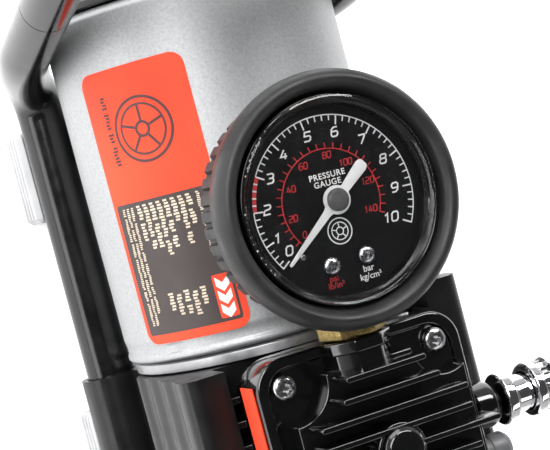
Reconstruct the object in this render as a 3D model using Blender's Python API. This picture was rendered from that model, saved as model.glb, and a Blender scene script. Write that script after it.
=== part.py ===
"""Portable twelve volt piston air compressor with a dial gauge and a tubular carry frame.

Everything is written in millimetres in the pump's own axes (X along the motor shaft towards
the crankcase, Y across, Z up, zero at the front rim of the motor can on the shaft line) and
is moved at the end so that the feet stand on Z = 0 with the machine centred on X and Y.
"""
import math

import bmesh
import bpy
from mathutils import Matrix, Vector

MM = 0.001
GAP = 0.3                      # running and seating gap between neighbouring pieces

# motor
CAN_R, CAN_WALL, CAN_LEN = 39.0, 2.8, 92.5
SHAFT_R, BEARING_R = 4.0, 8.7
END_PLATE_R, END_PLATE_T = 37.6, 3.0
CAP_R, CAP_LEN = 29.4, 19.5

# crankcase
CASE_X0, CASE_X1 = 3.7, 60.0
CASE_HALF, CASE_TOP, CASE_BOTTOM = 40.0, 40.0, -44.0
TRENCH_HALF, TRENCH_Z = 29.0, 30.0
COVER_T = 5.0

# crank and piston
CRANK_THROW, ROD_X0, ROD_X1 = 10.0, 26.0, 33.0
BORE_R, BARREL_R = 18.0, 22.0

# cylinder head
HEAD_X, HEAD_HALF, HEAD_ROUND = 30.3, 27.9, 8.0
HEAD_Z0, HEAD_Z1 = 44.7, 56.3
BOLT = 20.8                    # half the spacing of the head screws
FIN_PITCH, FIN_T, FIN_TOP = 4.9, 1.5, 69.0

# gauge
GAUGE_X = -31.0
GAUGE_R, BEZEL_R = 27.8, 31.2
GAUGE_Z0, DIAL_Z, BEZEL_TOP = 47.0, 65.8, 72.8
ZERO_ANGLE = -53.0
STEM_Z, HEX_AF = 56.6, 15.0

# carry frame and feet
TUBE_R, TUBE_Y, TUBE_Z = 6.7, 37.8, -32.0
BEND_X, BEND_REACH = -70.0, 14.0       # where a side tube starts to rise, and how slowly
RISER = (-87.4, 47.0, 8.0)             # a point on the straight riser, and its lean below
LEAN = (-0.235, 0.0, 0.972)
RISER_SPLIT, RISER_TOP, HANDLE_BEND = 27.0, 52.0, 18.0
FOOT_BOTTOM = -50.0

# outlet
OUT_X, OUT_Z = 30.3, 50.4

MATERIALS = {
    "can": ((0.62, 0.63, 0.65), 1.0, 0.35), "cast_black": ((0.012, 0.012, 0.013), 0.0, 0.18),
    "case_black": ((0.05, 0.05, 0.052), 0.0, 0.45), "plate": ((0.55, 0.56, 0.57), 1.0, 0.4),
    "steel": ((0.6, 0.6, 0.62), 1.0, 0.3), "chrome": ((0.8, 0.8, 0.82), 1.0, 0.1),
    "brass": ((0.75, 0.55, 0.22), 1.0, 0.35), "rubber": ((0.03, 0.03, 0.03), 0.0, 0.7),
    "foot": ((0.45, 0.45, 0.46), 0.0, 0.7), "dial": ((0.02, 0.02, 0.022), 0.0, 0.5),
    "white": ((0.85, 0.85, 0.84), 0.0, 0.4), "glass": ((0.95, 0.97, 0.98), 0.0, 0.03),
    "red": ((0.85, 0.08, 0.04), 0.0, 0.4), "magnet": ((0.1, 0.1, 0.1), 0.0, 0.6),
    "copper": ((0.72, 0.36, 0.2), 1.0, 0.35), "carbon": ((0.06, 0.06, 0.06), 0.0, 0.5),
    "alloy": ((0.66, 0.66, 0.67), 1.0, 0.38), "seal": ((0.9, 0.89, 0.85), 0.0, 0.5),
}

for old in list(bpy.data.objects):
    bpy.data.objects.remove(old, do_unlink=True)

nodes = []


def material(name, key):
    colour, metallic, rough = MATERIALS[key]
    mat = bpy.data.materials.new(name)
    mat.use_nodes = True
    bsdf = mat.node_tree.nodes["Principled BSDF"]
    bsdf.inputs["Base Color"].default_value = (*colour, 1.0)
    bsdf.inputs["Metallic"].default_value = metallic
    bsdf.inputs["Roughness"].default_value = rough
    if key == "glass":
        bsdf.inputs["Transmission Weight"].default_value = 1.0
    return mat


# ---------------------------------------------------------------- solids

def place(axis, along, a, b):
    """A point given along an axis and across it, as X, Y, Z."""
    return {"X": (along, a, b), "Y": (b, along, a), "Z": (a, b, along)}[axis]


def solid(bm):
    bmesh.ops.remove_doubles(bm, verts=bm.verts, dist=1e-5)
    bmesh.ops.recalc_face_normals(bm, faces=bm.faces)
    mesh = bpy.data.meshes.new("solid")
    bm.to_mesh(mesh)
    bm.free()
    obj = bpy.data.objects.new("solid", mesh)
    bpy.context.scene.collection.objects.link(obj)
    return obj


def lathe(profile, axis="X", at=(0.0, 0.0), segs=32):
    """Turn a closed (along, radius) profile round an axis."""
    bm = bmesh.new()
    loops = []
    for along, r in profile:
        if r < 1e-6:
            loops.append([bm.verts.new(place(axis, along, *at))])
            continue
        ring = []
        for k in range(segs):
            t = 2 * math.pi * k / segs
            ring.append(bm.verts.new(place(axis, along, at[0] + r * math.cos(t),
                                           at[1] + r * math.sin(t))))
        loops.append(ring)
    for i, ring in enumerate(loops):
        nxt = loops[(i + 1) % len(loops)]
        for k in range(segs):
            m = (k + 1) % segs
            if len(ring) > 1 and len(nxt) > 1:
                bm.faces.new((ring[k], ring[m], nxt[m], nxt[k]))
            elif len(ring) > 1:
                bm.faces.new((ring[k], ring[m], nxt[0]))
            elif len(nxt) > 1:
                bm.faces.new((ring[0], nxt[m], nxt[k]))
    return solid(bm)


def rod(axis, a0, a1, r, at=(0.0, 0.0), segs=32):
    """A round bar."""
    return lathe([(a0, 0), (a0, r), (a1, r), (a1, 0)], axis, at, segs)


def ring(axis, a0, a1, r0, r1, at=(0.0, 0.0), segs=32):
    """A round sleeve from inner radius r0 to outer radius r1."""
    return lathe([(a0, r0), (a0, r1), (a1, r1), (a1, r0)], axis, at, segs)


def prism(points, axis, h0, h1):
    """Push a closed outline, given across the axis, from h0 to h1."""
    bm = bmesh.new()
    low = [bm.verts.new(place(axis, h0, *p)) for p in points]
    high = [bm.verts.new(place(axis, h1, *p)) for p in points]
    bm.faces.new(low)
    bm.faces.new(high)
    for i in range(len(points)):
        j = (i + 1) % len(points)
        bm.faces.new((low[i], low[j], high[j], high[i]))
    return solid(bm)


def box(x0, x1, y0, y1, z0, z1):
    return prism([(x0, y0), (x1, y0), (x1, y1), (x0, y1)], "Z", z0, z1)


def rounded(cx, cy, hx, hy, r, steps=5):
    """Outline of a rectangle with rounded corners."""
    pts = []
    for q, (sx, sy) in enumerate(((1, 1), (-1, 1), (-1, -1), (1, -1))):
        for k in range(steps + 1):
            t = math.pi / 2 * (q + k / steps)
            pts.append((cx + sx * (hx - r) + r * math.cos(t),
                        cy + sy * (hy - r) + r * math.sin(t)))
    return pts


def arc(r, t0, t1, steps, cx=0.0, cy=0.0):
    return [(cx + r * math.cos(math.radians(t0 + (t1 - t0) * k / steps)),
             cy + r * math.sin(math.radians(t0 + (t1 - t0) * k / steps)))
            for k in range(steps + 1)]


def tube(path, r, segs=20):
    """Sweep a solid round bar along a path, with flat ends."""
    path = [Vector(p) for p in path]
    bm = bmesh.new()
    rings = []
    side = None
    for i, p in enumerate(path):
        t = (path[min(i + 1, len(path) - 1)] - path[max(i - 1, 0)]).normalized()
        if side is None:
            side = t.orthogonal().normalized()
        side = (side - t * side.dot(t)).normalized()
        up = t.cross(side)
        rings.append([bm.verts.new(p + (side * math.cos(a) + up * math.sin(a)) * r)
                      for a in (2 * math.pi * k / segs for k in range(segs))])
    for a, b in zip(rings, rings[1:]):
        for k in range(segs):
            m = (k + 1) % segs
            bm.faces.new((a[k], a[m], b[m], b[k]))
    bm.faces.new(rings[0])
    bm.faces.new(rings[-1])
    return solid(bm)


def merge(*solids):
    """Collect solids that do not meet into one cutter."""
    bm = bmesh.new()
    for s in solids:
        bm.from_mesh(s.data)
        bpy.data.objects.remove(s, do_unlink=True)
    return solid(bm)


def boolean(base, tool, how):
    mod = base.modifiers.new(how, "BOOLEAN")
    mod.operation = how
    mod.solver = "EXACT"
    mod.object = tool
    graph = bpy.context.evaluated_depsgraph_get()
    mesh = bpy.data.meshes.new_from_object(base.evaluated_get(graph))
    base.modifiers.clear()
    base.data = mesh
    bpy.data.objects.remove(tool, do_unlink=True)
    return base


def cut(base, *tools):
    for tool in tools:
        boolean(base, tool, "DIFFERENCE")
    return base


def join(base, *tools):
    for tool in tools:
        boolean(base, tool, "UNION")
    return base


def bevel(obj, width, angle=35.0, segments=1):
    bm = bmesh.new()
    bm.from_mesh(obj.data)
    edges = [e for e in bm.edges if len(e.link_faces) == 2
             and e.calc_face_angle(0.0) > math.radians(angle)]
    bmesh.ops.bevel(bm, geom=edges, offset=width, segments=segments, affect="EDGES",
                    clamp_overlap=True)
    bm.to_mesh(obj.data)
    bm.free()
    return obj


def node(name, key, obj, pivot=(0.0, 0.0, 0.0), smooth=True, angle=32.0):
    """Name a finished solid, give it its own finish and put its origin on its pivot."""
    bm = bmesh.new()
    bm.from_mesh(obj.data)
    bmesh.ops.dissolve_degenerate(bm, dist=1e-4, edges=bm.edges)
    bmesh.ops.remove_doubles(bm, verts=bm.verts, dist=1e-4)
    bmesh.ops.recalc_face_normals(bm, faces=bm.faces)
    bm.to_mesh(obj.data)
    bm.free()
    obj.name = name
    obj.data.name = name
    obj.data.materials.clear()
    obj.data.materials.append(material(name + "_finish", key))
    if smooth:
        obj.data.shade_smooth()
        obj.data.set_sharp_from_angle(angle=math.radians(angle))
    nodes.append((obj, Vector(pivot)))
    return obj


# ---------------------------------------------------------------- motor

can_in = CAN_R - CAN_WALL
node("motor_can", "can", lathe(
    [(-CAN_LEN, can_in), (-CAN_LEN, CAN_R - 1.4), (1.4 - CAN_LEN, CAN_R), (-5.2, CAN_R),
     (-4.3, CAN_R - 0.8), (-3.2, CAN_R - 0.8), (-2.4, CAN_R), (-0.6, CAN_R),
     (0.0, CAN_R - 0.6), (0.0, can_in)], segs=56))

magnet_arc = arc(can_in - GAP, 28, 152, 10) + arc(31.2, 152, 28, 10)
node("magnet_upper", "magnet", prism(magnet_arc, "X", -68, -14))
node("magnet_lower", "magnet", prism([(y, -z) for y, z in magnet_arc], "X", -68, -14))

ROTOR = (-45.0, 0.0, 0.0)


def slotted(r_out, r_slot, teeth, share=0.7):
    """Outline of a slotted core: wide tooth faces with narrow slots between."""
    pts = []
    step = 360 / teeth
    for k in range(teeth):
        a = k * step
        pts += arc(r_out, a - step * share / 2, a + step * share / 2, 1)
        pts += arc(r_slot, a + step * share / 2, a + step * (1 - share / 2), 1)
    return pts


armature = prism(slotted(30.6, 27.0, 10), "X", -62, -20)
join(armature, lathe([(-71, 8), (-71, 20), (-69, 25), (-62.5, 26), (-61, 26), (-61, 8)], segs=16),
     lathe([(-21, 8), (-21, 26), (-19.5, 26), (-14, 25), (-11, 20), (-11, 8)], segs=16))
cut(armature, rod("X", -80, -5, SHAFT_R + GAP, segs=16))
node("armature", "copper", armature, ROTOR)
node("motor_shaft", "steel", lathe(
    [(-107, 0), (-107, 3.4), (-106.4, SHAFT_R), (24.6, SHAFT_R), (25.2, 3.4), (25.2, 0)], segs=16),
    ROTOR)
commutator = prism(slotted(11.0, 10.2, 12, 0.8), "X", -81, -72)
cut(commutator, rod("X", -85, -70, SHAFT_R + GAP, segs=16))
node("commutator", "copper", commutator, ROTOR)

for name, s in (("brush_left", -1), ("brush_right", 1)):
    node(name, "carbon", box(-79.5, -73.5, *sorted((s * 11.4, s * 22)), -3, 3), smooth=False)

brush_plate = ring("X", -87, -83.8, 9.0, can_in - GAP, segs=28)
for s in (-1, 1):
    shelf = box(-84.4, -71.6, *sorted((s * 14, s * 27)), -5.5, 5.5)
    join(brush_plate, cut(shelf, box(-83.2, -69.0, *sorted((s * 10, s * 30)), -3 - GAP, 3 + GAP)))
node("brush_plate", "case_black", brush_plate)

for name, x0 in (("bearing_rear", -88.0), ("bearing_front", 0.8)):
    node(name, "steel", lathe(
        [(x0, SHAFT_R + GAP), (x0, 5.6), (x0 + 0.5, 5.9), (x0 + 0.5, 7.2), (x0, 7.5),
         (x0, BEARING_R), (x0 + 7, BEARING_R), (x0 + 7, SHAFT_R + GAP)], segs=16))

# ---------------------------------------------------------------- rear cap, fan and gland

cap_x0 = -CAN_LEN - GAP
cap_x1 = cap_x0 - CAP_LEN
cap = lathe(
    [(cap_x0 + 4.0, can_in - 3.0), (cap_x0 + 4.0, can_in - GAP), (cap_x0 + 0.01, can_in - GAP),
     (cap_x0, CAN_R - 0.4), (cap_x0 - 2.4, CAN_R - 0.8), (cap_x0 - 4.0, CAP_R + 1.5),
     (cap_x0 - 5.0, CAP_R), (cap_x1 + 3.0, CAP_R), (cap_x1, CAP_R - 3.0), (cap_x1, 0),
     (cap_x1 + 2.5, 0), (cap_x1 + 2.5, CAP_R - 2.6), (cap_x0 - 2.4, CAP_R - 2.6),
     (cap_x0, can_in - 3.0)], segs=32)
slots = []
for k in range(10):
    t = 360 * (k + 0.5) / 10
    slot = box(cap_x1 - 2, cap_x1 + 11.5, -1.3, 1.3, 20, CAP_R + 4)
    slot.data.transform(Matrix.Rotation(math.radians(t), 4, "X"))
    slots.append(slot)
GLAND_Z = -9.0
cut(cap, merge(*slots))
cut(cap, rod("X", cap_x1 - 3, cap_x1 + 4, 4.4, (0, GLAND_Z), 12))
node("rear_cap", "case_black", cap)

gland = lathe(
    [(cap_x1 + 4.5, 2.6), (cap_x1 + 4.5, 4.0), (cap_x1 - GAP, 4.0), (cap_x1 - GAP, 7.4),
     (cap_x1 - 4.0, 7.4), (cap_x1 - 5.0, 6.2), (cap_x1 - 11.5, 5.0), (cap_x1 - 12.5, 4.2),
     (cap_x1 - 12.5, 2.6)], at=(0, GLAND_Z), segs=16)
node("cable_gland", "rubber", gland)

fan = ring("X", -106, -98, SHAFT_R + GAP, 9.5, segs=16)
blades = []
for k in range(7):
    blade = box(-3.4, 3.4, -0.7, 0.7, 8.6, 25.2)
    blade.data.transform(Matrix.Translation((-102, 0, 0))
                         @ Matrix.Rotation(math.radians(360 / 7 * k), 4, "X")
                         @ Matrix.Rotation(math.radians(24), 4, "Z"))
    blades.append(blade)
node("cooling_fan", "case_black", join(fan, merge(*blades)), ROTOR)

# ---------------------------------------------------------------- end plate and crankcase

plate = lathe(
    [(GAP, 9.0), (GAP, END_PLATE_R - 0.6), (0.9, END_PLATE_R), (GAP + END_PLATE_T, END_PLATE_R),
     (GAP + END_PLATE_T, 12.5), (9.5, 12.0), (9.5, 5.5), (8.1, 5.5), (8.1, 9.0)], segs=36)
node("end_plate", "plate", plate)

SOCKET_R = 8.6
side = [(TRENCH_HALF, TRENCH_Z), (TRENCH_HALF, CASE_TOP), (CASE_HALF - 3.0, CASE_TOP),
        (CASE_HALF - 0.9, CASE_TOP - 0.9), (CASE_HALF, CASE_TOP - 3.0)]
for z in (28.0, 20.5, 13.0, 5.5):
    side += [(CASE_HALF, z + 1.7), (CASE_HALF - 1.8, z + 1.0), (CASE_HALF - 1.8, z - 1.0),
             (CASE_HALF, z - 1.7)]
side += [(CASE_HALF, -2.0), (CASE_HALF - 4.5, -9.0), (CASE_HALF - 6.0, -18.0),
         (CASE_HALF - 6.0, CASE_BOTTOM + 3), (CASE_HALF - 9.0, CASE_BOTTOM)]
case = prism(side + [(-y, z) for y, z in reversed(side)], "X", CASE_X0, CASE_X1)
for s in (-1, 1):
    join(case, rod("X", CASE_X0 + 0.3, CASE_X1 - 0.5, SOCKET_R, (s * TUBE_Y, TUBE_Z), 24))
chamber = prism(rounded(0, -4, 27, 25, 8, 4), "X", CASE_X0 + 5.5, CASE_X1 + 2)
cut(case, chamber, rod("X", CASE_X0 - 2, CASE_X0 + 8, 13.2, segs=24),
    rod("Z", 10, TRENCH_Z + 3, BARREL_R + GAP, (HEAD_X, 0), 32))
for s in (-1, 1):
    cut(case, rod("X", CASE_X0 - 4, 31.0, TUBE_R + GAP, (s * TUBE_Y, TUBE_Z), 24))
node("crankcase", "case_black", case, angle=28.0)

cover = prism(rounded(0, -2, 33.5, 36, 7, 4), "X", CASE_X1 + GAP, CASE_X1 + GAP + COVER_T)
bevel(cover, 1.0, 60.0)
join(cover, prism(rounded(0, -4, 26.4, 24.4, 7.6, 4), "X", CASE_X1 - 4, CASE_X1 + GAP + 1))
cut(cover, prism(rounded(0, -4, 23, 21, 6, 3), "X", CASE_X1 - 6, CASE_X1 - 1))
vents = [box(CASE_X1 + 3.6, CASE_X1 + 8, -18, 18, z - 1.2, z + 1.2) for z in (-18, -11, -4, 3, 10)]
cut(cover, merge(*vents))
node("front_cover", "case_black", cover)

# ---------------------------------------------------------------- crank train

disc = ring("X", 17.5, 25.4, SHAFT_R + GAP, 14.0, segs=24)
holes = [rod("X", 16, 27, 2.0, (10 * math.cos(math.radians(t)), 10 * math.sin(math.radians(t))), 8)
         for t in (210, 330)]
node("crank_disc", "steel", cut(disc, merge(*holes)), ROTOR)

PISTON = (HEAD_X, 0.0, 0.0)
pin_at = (0.0, -CRANK_THROW)
node("crank_pin", "steel", lathe(
    [(25.7, 0), (25.7, 3.0), (33.6, 3.0), (33.6, 4.6), (35.4, 4.6), (36.0, 4.0), (36.0, 0)],
    at=pin_at, segs=16), PISTON)
node("big_end_bearing", "steel", ring("X", 26.4, 32.6, 3.0 + GAP, 6.4, pin_at, 16), PISTON)
rod_x = (ROD_X0, ROD_X1)
conrod = rod("X", *rod_x, 9.4, pin_at, 20)
join(conrod, prism([(-6.5, -4), (6.5, -4), (4.6, 12), (-4.6, 12)], "X", *rod_x),
     box(ROD_X0, ROD_X1 + 2.0, -9.0, 9.0, 11.0, 14.7))
cut(conrod, rod("X", ROD_X0 - 1, ROD_X1 + 1, 6.4 + GAP, pin_at, 16))
node("conrod", "alloy", conrod, PISTON)
node("piston", "alloy", lathe(
    [(15.0, 0), (15.0, BORE_R - 1.6), (17.2, BORE_R - 1.6), (17.2, 9.6), (20.0, 9.6), (20.0, 0)],
    "Z", (HEAD_X, 0), 28), PISTON)
node("piston_cup", "seal", lathe(
    [(17.5, 9.6 + GAP), (17.5, BORE_R - 1.0), (18.2, BORE_R - GAP), (20.0, BORE_R - GAP),
     (20.0, BORE_R - 1.3), (18.7, BORE_R - 2.4), (18.7, 9.6 + GAP)], "Z", (HEAD_X, 0), 28), PISTON)

# ---------------------------------------------------------------- cylinder and valves

BARREL_Z0, FLANGE_Z0, FLANGE_Z1 = 15.6, 36.6, 41.0
bolts = [(HEAD_X + sx * BOLT, sy * BOLT) for sx in (-1, 1) for sy in (-1, 1)]
cyl = rod("Z", BARREL_Z0, FLANGE_Z1 - 0.5, BARREL_R, (HEAD_X, 0), 32)
join(cyl, prism(rounded(HEAD_X, 0, 26.2, 26.2, 7, 4), "Z", FLANGE_Z0, FLANGE_Z1))
ribs = [box(HEAD_X + k * 6.2 - 0.8, HEAD_X + k * 6.2 + 0.8, -28.6, 28.6, TRENCH_Z + GAP, 38.4)
        for k in range(-3, 4)]
join(cyl, merge(*ribs))
cut(cyl, rod("Z", BARREL_Z0 - 2, FLANGE_Z1 + 2, BORE_R, (HEAD_X, 0), 32),
    merge(*[rod("Z", 37.6, 45, 2.1, b, 8) for b in bolts]))
node("cylinder", "cast_black", cyl)

VALVE_Z = FLANGE_Z1 + GAP
vplate = prism(rounded(HEAD_X, 0, 26.6, 26.6, 7, 4), "Z", VALVE_Z, VALVE_Z + 2.0)
cut(vplate, merge(*[rod("Z", VALVE_Z - 2, VALVE_Z + 4, 2.1, b, 8) for b in bolts],
                  *[rod("Z", VALVE_Z - 2, VALVE_Z + 4, 2.6, (HEAD_X, y), 10) for y in (-8, 8)]))
node("valve_plate", "plate", vplate)
reed = rounded(HEAD_X, 0, 3.6, 6.5, 3.5, 4)
node("intake_reed", "steel", prism([(x, y - 6.5) for x, y in reed], "Z", 40.55, 40.95),
     smooth=False)
node("discharge_reed", "steel", prism([(x, y + 6.5) for x, y in reed], "Z", 43.6, 44.0),
     smooth=False)
gasket = prism(rounded(HEAD_X, 0, 25.8, 25.8, 7, 4), "Z", VALVE_Z + 2.0 + 0.1, HEAD_Z0 - 0.1)
cut(gasket, prism(rounded(HEAD_X, 0, 16.2, 16.2, 5, 4), "Z", VALVE_Z, HEAD_Z0 + 2),
    merge(*[rod("Z", VALVE_Z, HEAD_Z0 + 2, 2.3, b, 8) for b in bolts]))
node("head_gasket", "rubber", gasket)

# ---------------------------------------------------------------- cylinder head

RECESS_Z, DECK_Z, POCKET_R, DECK_HALF = 54.9, 60.0, 9.8, 21.3
head = prism(rounded(HEAD_X, 0, HEAD_HALF, HEAD_HALF, HEAD_ROUND, 7), "Z", HEAD_Z0, HEAD_Z1)
bevel(head, 0.7, 60.0)
cut(head, prism(rounded(HEAD_X, 0, HEAD_HALF - 2.8, HEAD_HALF - 2.8, 6.2, 6), "Z",
                RECESS_Z, HEAD_Z1 + 5))
deck = prism(rounded(HEAD_X, 0, DECK_HALF, DECK_HALF, 1.0, 1), "Z", HEAD_Z1 - 4, DECK_Z)
fins = []
for k in range(-4, 5):
    half = DECK_HALF if k else DECK_HALF + 2.0
    x = HEAD_X + k * FIN_PITCH
    fins.append(box(x - FIN_T / 2, x + FIN_T / 2, -half, half, DECK_Z - 1, FIN_TOP))
boss_rib = box(HEAD_X - FIN_T / 2, HEAD_X + FIN_T / 2, DECK_HALF - 1.0, 27.2, HEAD_Z1 - 2, FIN_TOP)
join(deck, merge(*fins), boss_rib)
cut(deck, merge(*[rod("Z", HEAD_Z1 - 6, FIN_TOP + 3, POCKET_R, b, 24) for b in bolts]))
join(deck, rod("Z", DECK_Z - 1, FIN_TOP - 0.4, 6.4, (HEAD_X, 0), 28))
join(head, deck)
port_x1 = HEAD_X - 4 * FIN_PITCH
port_x0 = HEAD_X - HEAD_HALF + 0.2
port = prism(arc(8.0, 22.5, 337.5, 7, 0, STEM_Z), "X", port_x0, port_x1)
join(head, port, prism(arc(9.0, 22.5, 337.5, 7, 0, STEM_Z), "X", port_x0, port_x0 + 3.2))
cut(head, prism(rounded(HEAD_X, 0, 14.5, 14.5, 4, 3), "Z", HEAD_Z0 - 2, HEAD_Z0 + 5.5),
    merge(*[rod("Z", HEAD_Z0 - 3, HEAD_Z1 + 3, 2.1, b, 8) for b in bolts]),
    rod("Z", 52, FIN_TOP + 2, 4.6, (HEAD_X, 0), 24),
    rod("X", HEAD_X - HEAD_HALF - 2, 9.0, 4.6, (0, STEM_Z), 20),
    rod("Y", 20, HEAD_HALF + 3, 3.2, (OUT_Z, OUT_X), 16))
node("cylinder_head", "cast_black", head, angle=30.0)

for i, (x, y) in enumerate(bolts):
    screw = lathe(
        [(38.6, 0), (38.6, 1.4), (39.0, 1.7), (RECESS_Z + GAP, 1.7), (RECESS_Z + GAP, 3.1),
         (RECESS_Z + 1.6, 3.1), (RECESS_Z + 2.4, 2.4), (RECESS_Z + 2.6, 1.55),
         (RECESS_Z + 1.0, 1.45), (RECESS_Z + 1.0, 0)], "Z", (x, y), 12)
    node("head_screw_%d" % (i + 1), "steel", screw)

node("head_plug", "cast_black", lathe(
    [(53, 0), (53, 4.0), (53.4, 4.3), (FIN_TOP + GAP, 4.3), (FIN_TOP + GAP, 5.4),
     (70.0, 5.4), (71.0, 4.4), (71.5, 2.2), (71.5, 0)], "Z", (HEAD_X, 0), 20))
strip_y = -HEAD_HALF - 0.15
node("head_label", "red", box(HEAD_X - 22.5, HEAD_X + 22.5, strip_y - 0.3, strip_y, 46.4, 54.4),
     smooth=False)

# ---------------------------------------------------------------- outlet, coupler and filter

y0 = HEAD_HALF
out_at = (OUT_Z, OUT_X)
node("outlet_port", "cast_black", lathe(
    [(y0 - 5, 1.6), (y0 - 5, 2.9), (y0 + GAP, 2.9), (y0 + GAP, 6.0), (y0 + 5.0, 6.0),
     (y0 + 7.4, 5.0), (y0 + 8.2, 3.8), (y0 + 8.2, 1.6)], "Y", out_at, 20))
SLEEVE = (OUT_X, y0 + 20.0, OUT_Z)
node("coupler_body", "chrome", lathe(
    [(y0 + 8.5, 1.6), (y0 + 8.5, 6.4), (y0 + 9.0, 6.8), (y0 + 11.2, 6.8), (y0 + 11.7, 6.2),
     (y0 + 12.5, 4.9), (y0 + 25.5, 4.9), (y0 + 26.0, 4.4), (y0 + 26.0, 3.1), (y0 + 12.0, 3.1),
     (y0 + 12.0, 1.6)], "Y", out_at, 20))
node("coupler_sleeve", "chrome", lathe(
    [(y0 + 17.0, 4.9 + GAP), (y0 + 17.0, 6.6), (y0 + 17.6, 7.2), (y0 + 19.5, 7.2),
     (y0 + 20.2, 6.6), (y0 + 22.4, 6.6), (y0 + 23.1, 7.2), (y0 + 24.6, 7.2), (y0 + 25.2, 6.6),
     (y0 + 25.2, 4.9 + GAP)], "Y", out_at, 20), SLEEVE)
node("intake_filter", "foot", lathe(
    [(y0 + GAP, 0), (y0 + GAP, 4.2), (y0 + 7.0, 4.2), (y0 + 8.4, 3.2), (y0 + 8.9, 1.6),
     (y0 + 8.9, 0)], "Y", (49.6, 42.2), 16))

# ---------------------------------------------------------------- gauge

gauge_at = (GAUGE_X, 0.0)
gcase = lathe(
    [(GAUGE_Z0, 0), (GAUGE_Z0, GAUGE_R - 1.2), (GAUGE_Z0 + 1.2, GAUGE_R), (63.8, GAUGE_R),
     (63.8, GAUGE_R - 1.6), (GAUGE_Z0 + 2.0, GAUGE_R - 1.6), (GAUGE_Z0 + 2.0, 0)],
    "Z", gauge_at, 40)
cut(gcase, rod("X", GAUGE_X + GAUGE_R - 5, GAUGE_X + GAUGE_R + 4, 4.9, (0, STEM_Z), 12))
node("gauge_case", "rubber", gcase)
boot = lathe(
    [(61.2, GAUGE_R + GAP), (61.2, GAUGE_R + 1.3), (63.0, BEZEL_R - 1.0), (65.6, BEZEL_R),
     (68.4, BEZEL_R - 0.2), (71.0, BEZEL_R - 1.7), (BEZEL_TOP, BEZEL_R - 4.0),
     (BEZEL_TOP - 0.3, BEZEL_R - 5.0), (71.2, 25.3), (64.2, 25.3), (64.2, GAUGE_R + GAP)],
    "Z", gauge_at, 48)
HEX_R = HEX_AF / math.sqrt(3)
cut(boot, prism(arc(HEX_R + 0.4, 15, 315, 5, 0, STEM_Z), "X", GAUGE_X + 20, GAUGE_X + 40))
node("gauge_bezel", "rubber", boot)
node("gauge_retainer", "cast_black", lathe(
    [(DIAL_Z + 0.3, 22.2), (DIAL_Z + 0.3, 25.0), (69.5, 25.0), (69.5, 23.9), (68.6, 23.6)],
    "Z", gauge_at, 40))
node("gauge_lens", "glass", lathe(
    [(69.8, 0), (69.8, 24.9), (70.9, 24.9), (71.3, 20.0), (71.5, 10.0), (71.5, 0)],
    "Z", gauge_at, 36))
dial = ring("Z", DIAL_Z - 0.6, DIAL_Z, 1.5, 24.8, gauge_at, 36)
node("gauge_dial", "dial", dial)

POINTER = (GAUGE_X, 0.0, DIAL_Z + 1.2)
outline = [(-11.6, 1.4), (-10.4, 1.7), (-4.0, 1.4), (-2.6, 2.7), (0.0, 3.4), (2.6, 2.7),
           (4.0, 1.7), (19.4, 0.35), (19.9, 0.0)]
outline += [(x, -w) for x, w in reversed(outline[:-1])]
t = math.radians(ZERO_ANGLE)
needle = [(GAUGE_X + x * math.cos(t) - w * math.sin(t), x * math.sin(t) + w * math.cos(t))
          for x, w in outline]
node("pointer", "white", prism(needle, "Z", DIAL_Z + 1.2, DIAL_Z + 1.7), POINTER, smooth=False)
node("pointer_cap", "dial", lathe(
    [(DIAL_Z + 2.0, 0), (DIAL_Z + 2.0, 2.6), (DIAL_Z + 2.5, 2.6), (DIAL_Z + 3.1, 1.9),
     (DIAL_Z + 3.1, 0)], "Z", gauge_at, 16), POINTER)

HEX_X0, HEX_X1 = GAUGE_X + GAUGE_R + 0.5, HEAD_X - HEAD_HALF - GAP
hex_pts = arc(HEX_R, 15, 315, 5, 0, STEM_Z)
stem = bevel(prism(hex_pts, "X", HEX_X0, HEX_X1), 0.35, 40.0)
join(stem, rod("X", HEX_X0 - 8.5, HEX_X0 + 1, 4.5, (0, STEM_Z), 12),
     rod("X", HEX_X1 - 1, HEX_X1 + 5.2, 4.2, (0, STEM_Z), 12))
node("gauge_stem", "brass", stem, angle=25.0)
loop = [(GAUGE_X + 17 * math.cos(math.radians(a)), 17 * math.sin(math.radians(a)), 58.0)
        for a in range(25, 301, 25)]
node("bourdon_tube", "brass", tube(loop, 1.7, 6))

# ---------------------------------------------------------------- carry frame

def riser(s, t):
    """The point t millimetres up the leaning riser on side s."""
    return Vector((RISER[0], s * RISER[1], RISER[2])) + Vector(LEAN) * t


def side_tube(s):
    start = Vector((BEND_X, s * TUBE_Y, TUBE_Z))
    pull = start - Vector((BEND_REACH, 0, 0))
    path = [Vector((30.0, s * TUBE_Y, TUBE_Z))]
    for k in range(9):
        t = k / 8
        path.append(start * (1 - t) ** 3 + pull * 3 * t * (1 - t) ** 2
                    + riser(s, -22.0) * 3 * t * t * (1 - t) + riser(s, 0) * t ** 3)
    return tube(path + [riser(s, RISER_SPLIT)], TUBE_R, 20)


node("frame_tube_left", "case_black", side_tube(-1))
node("frame_tube_right", "case_black", side_tube(1))
bar = [riser(-1, RISER_SPLIT + GAP)]
for s in (-1, 1):
    turn = [riser(s, RISER_TOP + HANDLE_BEND * math.sin(math.pi / 2 * k / 5))
            - Vector((0, s * HANDLE_BEND * (1 - math.cos(math.pi / 2 * k / 5)), 0))
            for k in range(6)]
    bar += turn if s < 0 else turn[::-1]
bar.append(riser(1, RISER_SPLIT + GAP))
node("handle_bar", "case_black", tube(bar, TUBE_R, 20))
crossing = riser(0, RISER_TOP + HANDLE_BEND)
node("handle_grip", "rubber", lathe(
    [(-17.0, TUBE_R + GAP), (-17.0, 9.0), (-16.0, 9.8), (-8.0, 9.2), (0.0, 9.8), (8.0, 9.2),
     (16.0, 9.8), (17.0, 9.0), (17.0, TUBE_R + GAP)], "Y", (crossing.z, crossing.x), 20))

# ---------------------------------------------------------------- cradle and feet

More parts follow.
